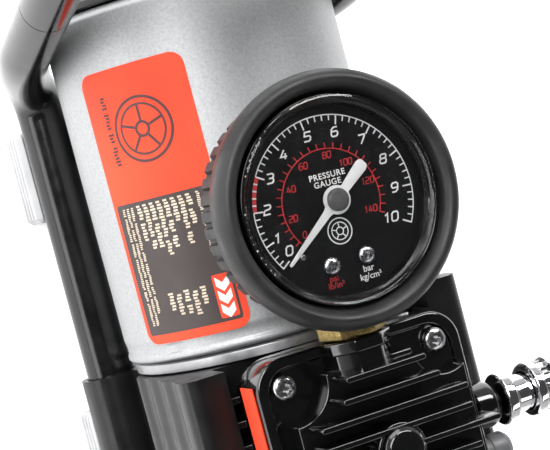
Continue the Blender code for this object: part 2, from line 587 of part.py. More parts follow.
seat = arc(CAN_R + GAP, 240, 300, 12)
cradle = prism([(-28.0, TUBE_Z - 6.0), (28.0, TUBE_Z - 6.0), (30.7, -34.0), (30.7, -31.0),
                (24.0, -31.0)] + seat[::-1] + [(-24.0, -31.0), (-30.7, -31.0), (-30.7, -34.0)],
               "X", -70, -56)
node("motor_cradle", "rubber", cradle)

for name, x0, x1, s in (("foot_front_left", 14, 40, -1), ("foot_front_right", 14, 40, 1),
                        ("foot_rear_left", -68, -42, -1), ("foot_rear_right", -68, -42, 1)):
    y = s * TUBE_Y
    foot = bevel(box(x0, x1, y - 8.0, y + 8.0, FOOT_BOTTOM, -35.0), 1.4, 60.0)
    clear = SOCKET_R if x0 > 0 else TUBE_R
    cut(foot, rod("X", x0 - 5, x1 + 5, clear + GAP, (y, TUBE_Z), 28))
    if x0 > 0:
        inner = sorted((s * 0.0, s * (CASE_HALF - 6.0 + GAP)))
        cut(foot, box(x0 - 3, x1 + 3, *inner, CASE_BOTTOM - GAP, -30))
    node(name, "foot", foot)

# ---------------------------------------------------------------- switch

sw = prism([(20.0, 10.0), (40.7, 10.0), (40.7, 27.5), (38.2, 30.0), (20.0, 30.0)], "X", -38, -4)
bevel(sw, 0.8, 60.0)
cut(sw, rod("X", -42, 0, CAN_R + GAP, segs=56), box(-33, -13, 38.2, 44, 13.0, 25.4))
node("switch_box", "case_black", sw)
ROCKER = (-23.0, 41.8, 19.2)
rocker = prism([(-32.4, 40.6), (-13.6, 40.6), (-13.6, 43.0), (-23.0, 42.0), (-32.4, 44.4)],
               "Z", 13.6, 24.8)
node("rocker", "red", rocker, ROCKER, smooth=False)

# ---------------------------------------------------------------- stand the machine on its feet

low = Vector((1e9, 1e9, 1e9))
high = -low
for obj, pivot in nodes:
    for v in obj.data.vertices:
        low = Vector(map(min, low, v.co))
        high = Vector(map(max, high, v.co))
shift = Vector((-(low.x + high.x) / 2, -(low.y + high.y) / 2, -low.z))
for obj, pivot in nodes:
    obj.data.transform(Matrix.Translation(-pivot))
    obj.data.transform(Matrix.Scale(MM, 4))
    obj.location = (pivot + shift) * MM
print("nodes", len(nodes), "shift mm", [round(c, 3) for c in shift],
      "size mm", [round(c, 2) for c in high - low],
      "triangles", sum(sum(len(p.vertices) - 2 for p in o.data.polygons) for o, _ in nodes))
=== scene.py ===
"""Looks of the portable air compressor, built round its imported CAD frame.

Shapes are written in millimetres in the pump's own axes (X along the motor shaft towards the
crankcase, Y across, Z up, zero at the front rim of the motor can on the shaft line) and are
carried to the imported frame's metres by PUMP, which is read from the motor can.
"""
import math

import bmesh
import bpy
from mathutils import Matrix, Vector


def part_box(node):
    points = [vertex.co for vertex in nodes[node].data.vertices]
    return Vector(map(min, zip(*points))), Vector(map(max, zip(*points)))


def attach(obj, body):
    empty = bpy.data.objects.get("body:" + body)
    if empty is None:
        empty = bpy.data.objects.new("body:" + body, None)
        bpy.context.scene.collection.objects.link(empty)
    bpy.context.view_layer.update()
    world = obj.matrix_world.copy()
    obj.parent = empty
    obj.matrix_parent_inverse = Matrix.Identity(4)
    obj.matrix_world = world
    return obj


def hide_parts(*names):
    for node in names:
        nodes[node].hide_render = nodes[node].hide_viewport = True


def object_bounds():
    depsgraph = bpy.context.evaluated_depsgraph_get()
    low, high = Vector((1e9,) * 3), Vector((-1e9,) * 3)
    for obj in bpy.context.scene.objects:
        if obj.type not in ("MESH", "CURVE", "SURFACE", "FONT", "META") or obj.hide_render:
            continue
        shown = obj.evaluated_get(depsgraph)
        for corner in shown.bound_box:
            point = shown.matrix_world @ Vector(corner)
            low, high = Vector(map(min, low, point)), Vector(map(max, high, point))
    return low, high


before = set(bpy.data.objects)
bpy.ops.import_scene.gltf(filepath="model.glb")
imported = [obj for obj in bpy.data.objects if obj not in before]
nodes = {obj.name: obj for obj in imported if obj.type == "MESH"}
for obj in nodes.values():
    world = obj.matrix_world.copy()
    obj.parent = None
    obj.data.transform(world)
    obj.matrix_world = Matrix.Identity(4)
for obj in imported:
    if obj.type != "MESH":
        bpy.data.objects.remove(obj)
cad_box = [list(corner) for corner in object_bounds()]

can_low, can_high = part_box("motor_can")
PUMP = Matrix.Translation((can_high.x, (can_low.y + can_high.y) / 2,
                           (can_low.z + can_high.z) / 2)) @ Matrix.Scale(0.001, 4)
GAP = 0.3                                 # clearance between neighbouring parts

# sizes that follow the CAD frame, in millimetres
CAN_R, CAN_LEN = 39.0, 92.5
HEAD_X, HEAD_HALF, HEAD_Z0, HEAD_Z1, RIM_T = 30.3, 27.9, 44.7, 56.3, 2.8
RECESS_Z, DECK_Z, DECK_HALF, LEFT_POCKET, RIGHT_POCKET = 54.9, 60.0, 21.3, 9.8, 8.3
BOLT, FIN_PITCH, FIN_T, FIN_TOP, SIDE_FINS = 20.8, 4.9, 1.5, 69.0, 4
CASE_X0, CASE_X1, CASE_HALF, CASE_TOP, CASE_BOTTOM = 3.7, 60.0, 40.0, 40.0, -44.0
TRENCH_HALF, TRENCH_Z = 29.0, 30.0
GAUGE_X, GAUGE_R, BEZEL_R = -31.0, 27.8, 31.2
GAUGE_Z0, DIAL_Z = 47.0, 65.8
STEM_Z, HEX_AF = 56.6, 15.0
TUBE_R, TUBE_Y, TUBE_Z = 6.7, 37.8, -32.0
BEND_X, BEND_REACH, RISER, LEAN = -70.0, 14.0, (-87.4, 47.0, 8.0), (-0.235, 0.0, 0.972)
RISER_SPLIT, RISER_TOP, HANDLE_BEND = 27.0, 52.0, 18.0
SOCKET_R = 8.6
OUT_X, OUT_Z = 30.3, 50.4
BOLTS = [(HEAD_X + sx * BOLT, sy * BOLT) for sx in (-1, 1) for sy in (-1, 1)]
GAUGE_AT = (GAUGE_X, 0.0)


# ------------------------------ materials

def finish(name, base, rough, metal=0.0, grain=(900, 0.1, 0.05), tint=None, tint_scale=60,
           smudge=0.06, coat=0.0, flakes=0.0, sheen=0.0, ior=1.5):
    """A surface with grain in its bump, drifting colour and gloss, and loose bright flakes.

    grain is (scale per metre, strength, depth in mm)."""
    mat = bpy.data.materials.new(name)
    mat.use_nodes = True
    tree = mat.node_tree
    bsdf = tree.nodes["Principled BSDF"]
    bsdf.inputs["Metallic"].default_value = metal
    bsdf.inputs["Coat Weight"].default_value = coat
    bsdf.inputs["Coat Roughness"].default_value = 0.05
    bsdf.inputs["Sheen Weight"].default_value = sheen
    bsdf.inputs["IOR"].default_value = ior
    place_at = tree.nodes.new("ShaderNodeTexCoord").outputs["Object"]

    def noise(scale, fine):
        node = tree.nodes.new("ShaderNodeTexNoise")
        node.inputs["Scale"].default_value = scale
        node.inputs["Detail"].default_value = fine
        tree.links.new(place_at, node.inputs["Vector"])
        return node.outputs["Fac"]

    def spread(value, low, high, out_low, out_high):
        node = tree.nodes.new("ShaderNodeMapRange")
        for key, number in (("From Min", low), ("From Max", high),
                            ("To Min", out_low), ("To Max", out_high)):
            node.inputs[key].default_value = number
        tree.links.new(value, node.inputs["Value"])
        return node.outputs["Result"]

    def mix(factor, first, second):
        node = tree.nodes.new("ShaderNodeMix")
        node.data_type = "RGBA"
        tree.links.new(factor, node.inputs[0])
        for socket, value in ((node.inputs[6], first), (node.inputs[7], second)):
            if isinstance(value, tuple):
                socket.default_value = (*value, 1.0)
            else:
                tree.links.new(value, socket)
        return node.outputs[2]

    second = tint or tuple(min(1.0, c * 1.25 + 0.004) for c in base)
    colour = mix(spread(noise(tint_scale, 5.0), 0.35, 0.65, 0.0, 1.0), base, second)
    if flakes:
        cells = tree.nodes.new("ShaderNodeTexVoronoi")
        cells.inputs["Scale"].default_value = grain[0] * 1.3
        tree.links.new(place_at, cells.inputs["Vector"])
        light = tuple(min(1.0, c * 1.5) for c in base)
        dark = tuple(c * 0.55 for c in base)
        separate = tree.nodes.new("ShaderNodeSeparateColor")
        tree.links.new(cells.outputs["Color"], separate.inputs["Color"])
        colour = mix(spread(separate.outputs[0], 1 - flakes, 1.0, 0.0, 1.0), colour, light)
        colour = mix(spread(separate.outputs[1], 1 - flakes, 1.0, 0.0, 1.0), colour, dark)
    tree.links.new(colour, bsdf.inputs["Base Color"])
    gloss = spread(noise(tint_scale * 3.1, 3.0), 0.3, 0.7,
                   max(0.02, rough - smudge), min(1.0, rough + smudge))
    tree.links.new(gloss, bsdf.inputs["Roughness"])
    bump = tree.nodes.new("ShaderNodeBump")
    bump.inputs["Strength"].default_value = grain[1]
    bump.inputs["Distance"].default_value = grain[2] * 0.001
    tree.links.new(noise(grain[0], 4.0), bump.inputs["Height"])
    tree.links.new(bump.outputs["Normal"], bsdf.inputs["Normal"])
    return mat


def clear(name):
    """Thin clear lens with faint swirls in its polish."""
    mat = finish(name, (0.98, 0.99, 0.99), 0.02, grain=(400, 0.02, 0.02), smudge=0.01, ior=1.42)
    mat.node_tree.nodes["Principled BSDF"].inputs["Transmission Weight"].default_value = 1.0
    return mat


SILVER = finish("silver_enamel", (0.36, 0.365, 0.375), 0.50, 0.75, (2600, 0.35, 0.10),
                (0.43, 0.435, 0.44), 1400, 0.04)
GLOSS = finish("gloss_black_enamel", (0.0015, 0.0015, 0.0017), 0.14, 0.0, (260, 0.10, 0.04),
               (0.003, 0.003, 0.0034), 90, 0.04, coat=0.6)
SATIN = finish("satin_black_moulding", (0.006, 0.006, 0.0062), 0.34, 0.0, (2600, 0.22, 0.06),
               (0.008, 0.008, 0.0083), 70, 0.05, ior=1.4)
TUBE = finish("powder_coat", (0.003, 0.003, 0.0032), 0.17, 0.0, (1800, 0.22, 0.05),
              (0.010, 0.010, 0.0105), 80, 0.05)
RUBBER = finish("moulded_rubber", (0.008, 0.008, 0.0084), 0.44, 0.0, (3000, 0.35, 0.06),
                (0.016, 0.016, 0.0165), 90, 0.08, sheen=0.02, ior=1.4)
# the skirt is the boot's black rubber made lighter: painted light on its ribs
SKIRT_PAINTED_LIGHT = finish("gauge_skirt_rubber_painted_light", (0.028, 0.028, 0.0285), 0.55, 0.0, (3000, 0.35, 0.06),
               (0.040, 0.040, 0.041), 90, 0.08, ior=1.35)
GREY_RUBBER = finish("grey_rubber", (0.40, 0.40, 0.41), 0.62, 0.0, (2600, 0.3, 0.06),
                     (0.47, 0.47, 0.48), 110, 0.08, sheen=0.1)
GREY_PLASTIC = finish("grey_moulding", (0.10, 0.10, 0.105), 0.4, 0.0, (2400, 0.2, 0.05),
                      (0.14, 0.14, 0.145), 120, 0.06)
PLATE = finish("machined_plate", (0.42, 0.42, 0.43), 0.38, 0.85, (1100, 0.3, 0.06),
               (0.34, 0.34, 0.35), 130, 0.08)
STEEL = finish("zinc_steel", (0.50, 0.50, 0.51), 0.28, 1.0, (900, 0.35, 0.05),
               (0.36, 0.36, 0.38), 420, 0.1)
SCREW = finish("plated_screw", (0.55, 0.55, 0.56), 0.22, 1.0, (900, 0.35, 0.05),
               (0.36, 0.36, 0.37), 420, 0.08)
CHROME = finish("chrome_plate", (0.80, 0.80, 0.81), 0.08, 1.0, (500, 0.05, 0.02),
                (0.74, 0.74, 0.76), 150, 0.03)
BRASS = finish("tumbled_brass", (0.40, 0.30, 0.12), 0.40, 1.0, (2400, 0.9, 0.16),
               (0.22, 0.16, 0.06), 900, 0.1, flakes=0.3)
COPPER = finish("copper_winding", (0.60, 0.28, 0.14), 0.36, 1.0, (900, 0.5, 0.2),
                (0.42, 0.18, 0.09), 300, 0.08)
ALLOY = finish("cast_alloy", (0.56, 0.56, 0.57), 0.42, 0.9, (1200, 0.5, 0.1),
               (0.48, 0.48, 0.49), 150, 0.08)
FERRITE = finish("ferrite", (0.05, 0.05, 0.052), 0.6, 0.2, (1400, 0.5, 0.1))
CARBON = finish("carbon_block", (0.03, 0.03, 0.03), 0.5, 0.1, (1600, 0.5, 0.08))
SEAL = finish("filled_polymer", (0.72, 0.70, 0.64), 0.45, 0.0, (1500, 0.3, 0.05))
DIAL = finish("dial_black", (0.0025, 0.0025, 0.003), 0.5, 0.0, (3500, 0.15, 0.02),
              (0.004, 0.004, 0.0045), 200, 0.05, ior=1.25)
WHITE_INK = finish("white_ink", (0.86, 0.86, 0.85), 0.5, 0.0, (2500, 0.15, 0.02),
                   (0.78, 0.78, 0.77), 400, 0.05)
RED_INK = finish("red_ink", (0.60, 0.018, 0.022), 0.5, 0.0, (2500, 0.15, 0.02),
                 (0.50, 0.014, 0.018), 400, 0.05)
NEEDLE = finish("needle_white", (0.86, 0.86, 0.85), 0.42, 0.0, (1800, 0.15, 0.03),
                (0.80, 0.80, 0.79), 300, 0.05)
LABEL_RED = finish("label_red", (0.80, 0.050, 0.018), 0.50, 0.0, (900, 0.08, 0.03),
                   (0.86, 0.075, 0.028), 30, 0.04, ior=1.32)
LABEL_DARK = finish("label_dark", (0.030, 0.019, 0.018), 0.45, 0.0, (1200, 0.1, 0.03),
                    (0.040, 0.027, 0.025), 60, 0.05)
MARK_INK = finish("mark_ink", (0.045, 0.010, 0.011), 0.5, 0.0, (1500, 0.1, 0.02),
                  (0.070, 0.016, 0.017), 300, 0.05)
CREAM_INK = finish("cream_ink", (0.56, 0.46, 0.34), 0.5, 0.0, (1500, 0.1, 0.02),
                   (0.66, 0.56, 0.44), 300, 0.05)
INNER = finish("inner_ring_gloss", (0.0015, 0.0015, 0.0017), 0.10, 0.0, (400, 0.08, 0.03),
               (0.003, 0.003, 0.0034), 120, 0.03, coat=0.5)
CAP_GREY = finish("cap_grey", (0.075, 0.075, 0.077), 0.38, 0.0, (1500, 0.15, 0.03),
                  (0.10, 0.10, 0.10), 300, 0.05)
LENS = clear("clear_lens")


# ------------------------------ solids in pump millimetres

def place(axis, along, a, b):
    """A point given along an axis and across it, as X, Y, Z."""
    return {"X": (along, a, b), "Y": (b, along, a), "Z": (a, b, along)}[axis]


def solid(bm):
    bmesh.ops.remove_doubles(bm, verts=bm.verts, dist=1e-5)
    bmesh.ops.recalc_face_normals(bm, faces=bm.faces)
    mesh = bpy.data.meshes.new("solid")
    bm.to_mesh(mesh)
    bm.free()
    obj = bpy.data.objects.new("solid", mesh)
    bpy.context.scene.collection.objects.link(obj)
    return obj


def lathe(profile, axis="X", at=(0.0, 0.0), segs=96, wave=None):
    """Turn a closed (along, radius) profile; wave(k, along, r) may change a point's radius."""
    bm = bmesh.new()
    loops = []
    for along, r in profile:
        if r < 1e-6:
            loops.append([bm.verts.new(place(axis, along, *at))])
            continue
        loop = []
        for k in range(segs):
            t = 2 * math.pi * k / segs
            rk = wave(k, along, r) if wave else r
            loop.append(bm.verts.new(place(axis, along, at[0] + rk * math.cos(t),
                                           at[1] + rk * math.sin(t))))
        loops.append(loop)
    for i, loop in enumerate(loops):
        nxt = loops[(i + 1) % len(loops)]
        for k in range(segs):
            m = (k + 1) % segs
            if len(loop) > 1 and len(nxt) > 1:
                bm.faces.new((loop[k], loop[m], nxt[m], nxt[k]))
            elif len(loop) > 1:
                bm.faces.new((loop[k], loop[m], nxt[0]))
            elif len(nxt) > 1:
                bm.faces.new((loop[0], nxt[m], nxt[k]))
    return solid(bm)


def rod(axis, a0, a1, r, at=(0.0, 0.0), segs=48):
    return lathe([(a0, 0), (a0, r), (a1, r), (a1, 0)], axis, at, segs)


def arc(r, t0, t1, steps, cx=0.0, cy=0.0):
    return [(cx + r * math.cos(math.radians(t0 + (t1 - t0) * k / steps)),
             cy + r * math.sin(math.radians(t0 + (t1 - t0) * k / steps)))
            for k in range(steps + 1)]


def soften(profile, radius, steps=4):
    """Round the corners of a closed outline by radius, less where its sides are short."""
    out = []
    count = len(profile)
    for i, p in enumerate(profile):
        p, before, after = Vector(p), Vector(profile[i - 1]), Vector(profile[(i + 1) % count])
        a, b = before - p, after - p
        on_axis = p.y < 1e-6
        if on_axis or a.length < 1e-6 or b.length < 1e-6 or abs(a.angle(b) - math.pi) < 0.2:
            out.append(tuple(p))
            continue
        cut_back = min(radius, a.length * 0.45, b.length * 0.45)
        start, end = p + a.normalized() * cut_back, p + b.normalized() * cut_back
        for k in range(steps + 1):
            s = k / steps
            out.append(tuple(start * (1 - s) ** 2 + p * 2 * s * (1 - s) + end * s ** 2))
    return out


def prism(points, axis, h0, h1):
    """Push a closed outline, given across the axis, from h0 to h1."""
    bm = bmesh.new()
    low = [bm.verts.new(place(axis, h0, *p)) for p in points]
    high = [bm.verts.new(place(axis, h1, *p)) for p in points]
    bm.faces.new(low)
    bm.faces.new(high)
    for i in range(len(points)):
        j = (i + 1) % len(points)
        bm.faces.new((low[i], low[j], high[j], high[i]))
    return solid(bm)


def turned(points, turn, at):
    """Points turned by an angle in radians and moved to a place."""
    return [(at[0] + x * math.cos(turn) - y * math.sin(turn),
             at[1] + x * math.sin(turn) + y * math.cos(turn)) for x, y in points]


def box(x0, x1, y0, y1, z0, z1):
    return prism([(x0, y0), (x1, y0), (x1, y1), (x0, y1)], "Z", z0, z1)


def rounded(cx, cy, hx, hy, r, steps=8):
    """Outline of a rectangle with rounded corners."""
    pts = []
    for q, (sx, sy) in enumerate(((1, 1), (-1, 1), (-1, -1), (1, -1))):
        for k in range(steps + 1):
            t = math.pi / 2 * (q + k / steps)
            pts.append((cx + sx * (hx - r) + r * math.cos(t),
                        cy + sy * (hy - r) + r * math.sin(t)))
    return pts


def tube(path, r, segs):
    """Sweep a solid round bar along a path, with flat ends."""
    path = [Vector(p) for p in path]
    bm = bmesh.new()
    rings = []
    side = None
    for i, p in enumerate(path):
        t = (path[min(i + 1, len(path) - 1)] - path[max(i - 1, 0)]).normalized()
        if side is None:
            side = t.orthogonal().normalized()
        side = (side - t * side.dot(t)).normalized()
        up = t.cross(side)
        rings.append([bm.verts.new(p + (side * math.cos(a) + up * math.sin(a)) * r)
                      for a in (2 * math.pi * k / segs for k in range(segs))])
    for a, b in zip(rings, rings[1:]):
        for k in range(segs):
            m = (k + 1) % segs
            bm.faces.new((a[k], a[m], b[m], b[k]))
    bm.faces.new(rings[0])
    bm.faces.new(rings[-1])
    return solid(bm)


def merge(*solids):
    """Collect solids into one mesh."""
    bm = bmesh.new()
    for s in solids:
        bm.from_mesh(s.data)
        bpy.data.objects.remove(s, do_unlink=True)
    mesh = bpy.data.meshes.new("solid")
    bm.to_mesh(mesh)
    bm.free()
    obj = bpy.data.objects.new("solid", mesh)
    bpy.context.scene.collection.objects.link(obj)
    return obj


def evaluate(obj):
    """Apply the object's modifiers to its mesh."""
    graph = bpy.context.evaluated_depsgraph_get()
    mesh = bpy.data.meshes.new_from_object(obj.evaluated_get(graph))
    obj.modifiers.clear()
    obj.data = mesh
    return obj


def boolean(base, tool, how):
    mod = base.modifiers.new(how, "BOOLEAN")
    mod.operation = how
    mod.solver = "EXACT"
    mod.object = tool
    evaluate(base)
    bpy.data.objects.remove(tool, do_unlink=True)
    return base


def cut(base, *tools):
    for tool in tools:
        boolean(base, tool, "DIFFERENCE")
    return base


def join(base, *tools):
    for tool in tools:
        boolean(base, tool, "UNION")
    return base


def bevel(obj, width, segments=2, angle=30.0):
    """Round every edge sharper than angle."""
    mod = obj.modifiers.new("bevel", "BEVEL")
    mod.width = width
    mod.segments = segments
    mod.limit_method = "ANGLE"
    mod.angle_limit = math.radians(angle)
    return evaluate(obj)


def piece(name, obj, mat, body="frame", stands_for=None, angle=30.0):
    """Carry a finished solid to the row frame, shade it, and fix it to its body."""
    obj.name = name
    obj.data.name = name
    obj.data.transform(PUMP)
    obj.data.materials.clear()
    obj.data.materials.append(mat)
    obj.data.shade_smooth()
    obj.data.set_sharp_from_angle(angle=math.radians(angle))
    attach(obj, body)
    if stands_for:
        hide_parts(stands_for)
    return obj


# ------------------------------ motor can

def crimp_dent(k, along, r):
    """Small dimples pressed into the front bead at six places."""
    phase = (k % 32) - 16
    if -4.4 < along < -2.2 and r > CAN_R - 2:
        return r - 0.5 * math.exp(-(phase / 1.6) ** 2)
    return r


can_in = CAN_R - 2.8
can_profile = soften(
    [(-CAN_LEN, can_in), (-CAN_LEN, CAN_R - 1.6), (1.8 - CAN_LEN, CAN_R), (-5.6, CAN_R),
     (-4.0, CAN_R - 0.4), (-2.2, CAN_R - 0.4), (-1.6, CAN_R), (-0.6, CAN_R),
     (0.0, CAN_R - 0.7), (0.0, can_in)], 0.8)
piece("motor_can_shell", lathe(can_profile, segs=192, wave=crimp_dent), SILVER,
      stands_for="motor_can", angle=50)

# ------------------------------ motor label

LABEL_X0, LABEL_X1, LABEL_SPLIT = -76.4, -4.9, -42.0
LABEL_A0, LABEL_A1 = 25.4, 72.2          # degrees from the top, towards the label side
DEG_MM = 180 / (math.pi * CAN_R)          # degrees round the can in one millimetre


def on_can(x, angle, lift):
    t = math.radians(angle)
    r = CAN_R + lift
    return (x, -r * math.sin(t), r * math.cos(t))


STICKER_STEP = 1.5                        # degrees of bend in one flat strip of a sticker


def sticker(outline, lift, thick=0.05):
    """A thin skin on the can with an outline given as (x, degrees from the top)."""
    bm = bmesh.new()
    verts = [bm.verts.new((x, a, 0.0)) for x, a in outline]
    bm.faces.new(verts)
    low = min(a for _, a in outline)
    high = max(a for _, a in outline)
    a = low + STICKER_STEP
    while a < high:
        bmesh.ops.bisect_plane(bm, geom=bm.verts[:] + bm.edges[:] + bm.faces[:],
                               plane_co=(0, a, 0), plane_no=(0, 1, 0))
        a += STICKER_STEP
    bmesh.ops.recalc_face_normals(bm, faces=bm.faces)
    faces = bm.faces[:]
    made = bmesh.ops.extrude_face_region(bm, geom=faces)["geom"]
    for v in (g for g in made if isinstance(g, bmesh.types.BMVert)):
        v.co.z = thick
    for v in bm.verts:
        v.co = on_can(v.co.x, v.co.y, lift + v.co.z)
    return solid(bm)


def patch(x0, x1, a0, a1, r):
    """Rounded patch outline; r is in millimetres of label."""
    cx, cy = (x0 + x1) / 2, (a0 + a1) / 2
    hx, hy = (x1 - x0) / 2, (a1 - a0) / 2 / DEG_MM
    return [(x, cy + (y - cy) * DEG_MM) for x, y in rounded(cx, cy, hx, hy, r, 5)]


piece("label_red_ground", sticker(patch(LABEL_X0, LABEL_X1, LABEL_A0, LABEL_A1, 3.6), 0.05),
      LABEL_RED)
piece("label_dark_block", sticker(patch(LABEL_SPLIT, LABEL_X1 - 2.4, LABEL_A0 + 2.6,
                                        LABEL_A1 - 2.0, 0.9), 0.12), LABEL_DARK)


STROKE_SPANS = ((-1.0, 1.0), (-0.4, 1.0), (-1.0, 0.55), (-0.75, 0.75))


def words(x, row_angle, lengths, half):
    """A row of word-like groups of strokes along the can."""
    out = []
    stroke = half * 0.66
    pitch = stroke * 1.55
    for length in lengths:
        for k in range(max(1, round(length / pitch))):
            low, high = STROKE_SPANS[(k * 7 + int(x * 3)) % 4]
            out.append(sticker([(x + a, row_angle + b * half * DEG_MM) for a, b in
                                ((0, low), (stroke, low), (stroke, high), (0, high))], 0.19))
            x += pitch
        x += half
    return out


def on_label(x, angle, radius):
    """A round outline on the label."""
    return [(x + radius * math.cos(t), angle + radius * math.sin(t) * DEG_MM)
            for t in (2 * math.pi * k / 40 for k in range(40))]


def label_bar(x, angle, turn, r0, r1, width):
    """A spoke of the wheel mark."""
    t = math.radians(turn)
    ends = ((r0, -width), (r1, -width), (r1, width), (r0, width))
    return [(x + a * math.cos(t) - b * math.sin(t),
             angle + (a * math.sin(t) + b * math.cos(t)) * DEG_MM) for a, b in ends]


WHEEL_X, WHEEL_A, WHEEL_R, SPOKES = -59.6, 47.5, 8.6, 5
mark = [cut(sticker(on_label(WHEEL_X, WHEEL_A, outer), 0.1),
            sticker(on_label(WHEEL_X, WHEEL_A, inner), -0.5, 1.5))
        for outer, inner in ((WHEEL_R, WHEEL_R - 0.75), (WHEEL_R - 1.9, WHEEL_R - 2.5),
                             (2.2, 1.45))]
mark += [sticker(label_bar(WHEEL_X, WHEEL_A, 36 + 72 * k, 2.1, WHEEL_R - 2.3, 0.36), 0.1)
         for k in range(SPOKES)]
mark += words(-69.8, 62.4, (3.6, 4.2, 2.6, 5.0), 0.85)
piece("label_wheel_mark", merge(*mark), MARK_INK)

rows = []
HEADINGS = ((4.2, 5.0), (8.4, 2.0), (4.4, 6.6), (9.8, 4.0), (5.0, 2.8, 3.0), (6.2,), (8.8, 3.2),
            (3.0, 4.0))
VALUES = ((4.4,), (5.8,), (3.4, 2.0), (6.0,), (5.0,))
SMALL = ((2.0, 6.0, 3.6, 8.4, 2.6, 6.0), (5.0, 3.0, 9.0, 4.4, 7.0), (3.6, 7.4, 2.4, 5.8, 2.2, 4.6))
for k, lengths in enumerate(HEADINGS):
    rows += words(-41.0, 58.4 - 3.1 * k, lengths, 0.78)
for k, lengths in enumerate(VALUES):
    rows += words(-17.4 + 0.7 * (k % 2), 54.4 - 3.5 * k, lengths, 0.78)
for k, lengths in enumerate(SMALL):       # small print along the lower edge
    rows += words(-40.8, 66.6 - 2.3 * k, lengths, 0.50)
rows += words(-41.0, 33.0, (5.0, 3.4, 6.0), 0.5)
piece("label_print", merge(*rows), CREAM_INK)
piece("label_chevron_ground", sticker(patch(-19.4, -8.2, 29.0, 36.2, 0.5), 0.15),
      LABEL_RED)
chevrons = [sticker([(x, 30.0), (x + 2.3, 30.0), (x + 3.9, 32.6), (x + 2.3, 35.2), (x, 35.2),
                     (x + 1.6, 32.6)], 0.2) for x in (-18.8, -15.4, -12.0)]
piece("label_chevrons", merge(*chevrons), WHITE_INK)

# ------------------------------ gauge

GRIPS, GRIP_STEPS = 42, 12


def grip(k, along, r):
    """Square notches round the skirt of the gauge case."""
    if k % GRIP_STEPS < 4 and along < 61.5 and r > GAUGE_R - 2.5:
        return min(r, GAUGE_R - 1.3)
    return r


case_profile = [(GAUGE_Z0, 0.0), (GAUGE_Z0, GAUGE_R - 3.4)]
case_profile += arc(2.6, 200, 92, 8, GAUGE_Z0 + 2.6, GAUGE_R - 2.6)
case_profile += [(61.3, GAUGE_R), (61.6, GAUGE_R), (63.8, GAUGE_R), (63.8, GAUGE_R - 1.6),
                 (GAUGE_Z0 + 2.0, GAUGE_R - 4.0), (GAUGE_Z0 + 2.0, 0.0)]
gauge_case = lathe(case_profile, "Z", GAUGE_AT, GRIPS * GRIP_STEPS, grip)
cut(gauge_case, rod("X", GAUGE_X + GAUGE_R - 6, GAUGE_X + GAUGE_R + 4, 4.9, (0, STEM_Z), 32))
piece("gauge_case_ribbed", gauge_case, SKIRT_PAINTED_LIGHT, stands_for="gauge_case")

boot_profile = [(61.2, GAUGE_R + GAP), (61.2, GAUGE_R + 1.0), (61.9, GAUGE_R + 2.0),
                (63.4, BEZEL_R - 0.75)]
boot_profile += [(68.0 + 4.7 * r / 2.6, 28.6 + along) for along, r in arc(2.6, -34, 180, 26)]
boot_profile += [(66.8, 25.5), (64.2, 25.3), (64.2, GAUGE_R + GAP)]
boot = lathe(boot_profile, "Z", GAUGE_AT, 192)
HEX_R = HEX_AF / math.sqrt(3)
cut(boot, prism(arc(HEX_R + 0.4, 15, 315, 5, 0, STEM_Z), "X", GAUGE_X + 20, GAUGE_X + 40))
piece("gauge_boot", boot, RUBBER, stands_for="gauge_bezel", angle=40)

piece("gauge_inner_ring", lathe(
    soften([(DIAL_Z + 0.3, 22.5), (DIAL_Z + 0.3, 25.0), (69.5, 25.2), (70.0, 25.1), (70.0, 24.2),
            (69.2, 23.6), (68.6, 22.9)], 0.25), "Z", GAUGE_AT, 160), INNER,
      stands_for="gauge_retainer", angle=50)
piece("gauge_lens_glass", lathe(
    [(70.4, 0), (70.38, 8.0), (70.32, 16.0), (70.26, 22.0), (70.22, 24.5), (70.45, 24.9),
     (70.8, 24.9), (71.12, 24.7), (71.28, 24.3), (71.34, 22.0), (71.42, 16.0), (71.48, 8.0),
     (71.5, 0)], "Z", GAUGE_AT, 160), LENS, stands_for="gauge_lens", angle=12)
piece("dial_face", lathe([(DIAL_Z - 0.6, 1.5), (DIAL_Z - 0.6, 24.8), (DIAL_Z, 24.8), (DIAL_Z, 1.5)],
                         "Z", GAUGE_AT, 128), DIAL, stands_for="gauge_dial")

# The dial's angles run clockwise from +X, seen from above. Its first division is short.
BAR_MARKS = (54.5, 72.7, 96.5, 120.4, 145.2, 170.6, 196.7, 222.3, 247.8, 272.9, 298.5)
BAR_MINOR = (58.1, 63.0, 67.8)
PSI_MARKS = (55.1, 82.9, 115.5, 149.6, 184.9, 221.8, 258.4, 296.0)
PSI_FIRST = (58.1, 66.4, 74.6)
ARC_R, ARC_AT = 20.68, (0.25, -0.12)      # white scale: radius, and centre off the gauge's
PSI_R, PSI_DRIFT = 12.69, (-0.10, 0.72)   # red scale, whose centre is a little off
INK_Z0, INK_Z1 = DIAL_Z + 0.02, DIAL_Z + 0.06
DIAL_TURN = math.radians(-1.3)            # the whole print sits a little off square
UPRIGHT = math.radians(90.0 - 1.3)


def dial_point(angle, r, off=(0.0, 0.0)):
    t = math.radians(-angle)
    return (GAUGE_X + off[0] + r * math.cos(t), off[1] + r * math.sin(t))


def psi_point(angle, lift):
    t = math.radians(angle)
    r = PSI_R + PSI_DRIFT[0] * math.cos(t) + PSI_DRIFT[1] * math.sin(t) + lift
    return dial_point(angle, r, ARC_AT)


def below_hub(distance, side):
    """A point under the hub on the dial: distance down, side to the right."""
    return turned([(distance, side)], DIAL_TURN, GAUGE_AT)[0]


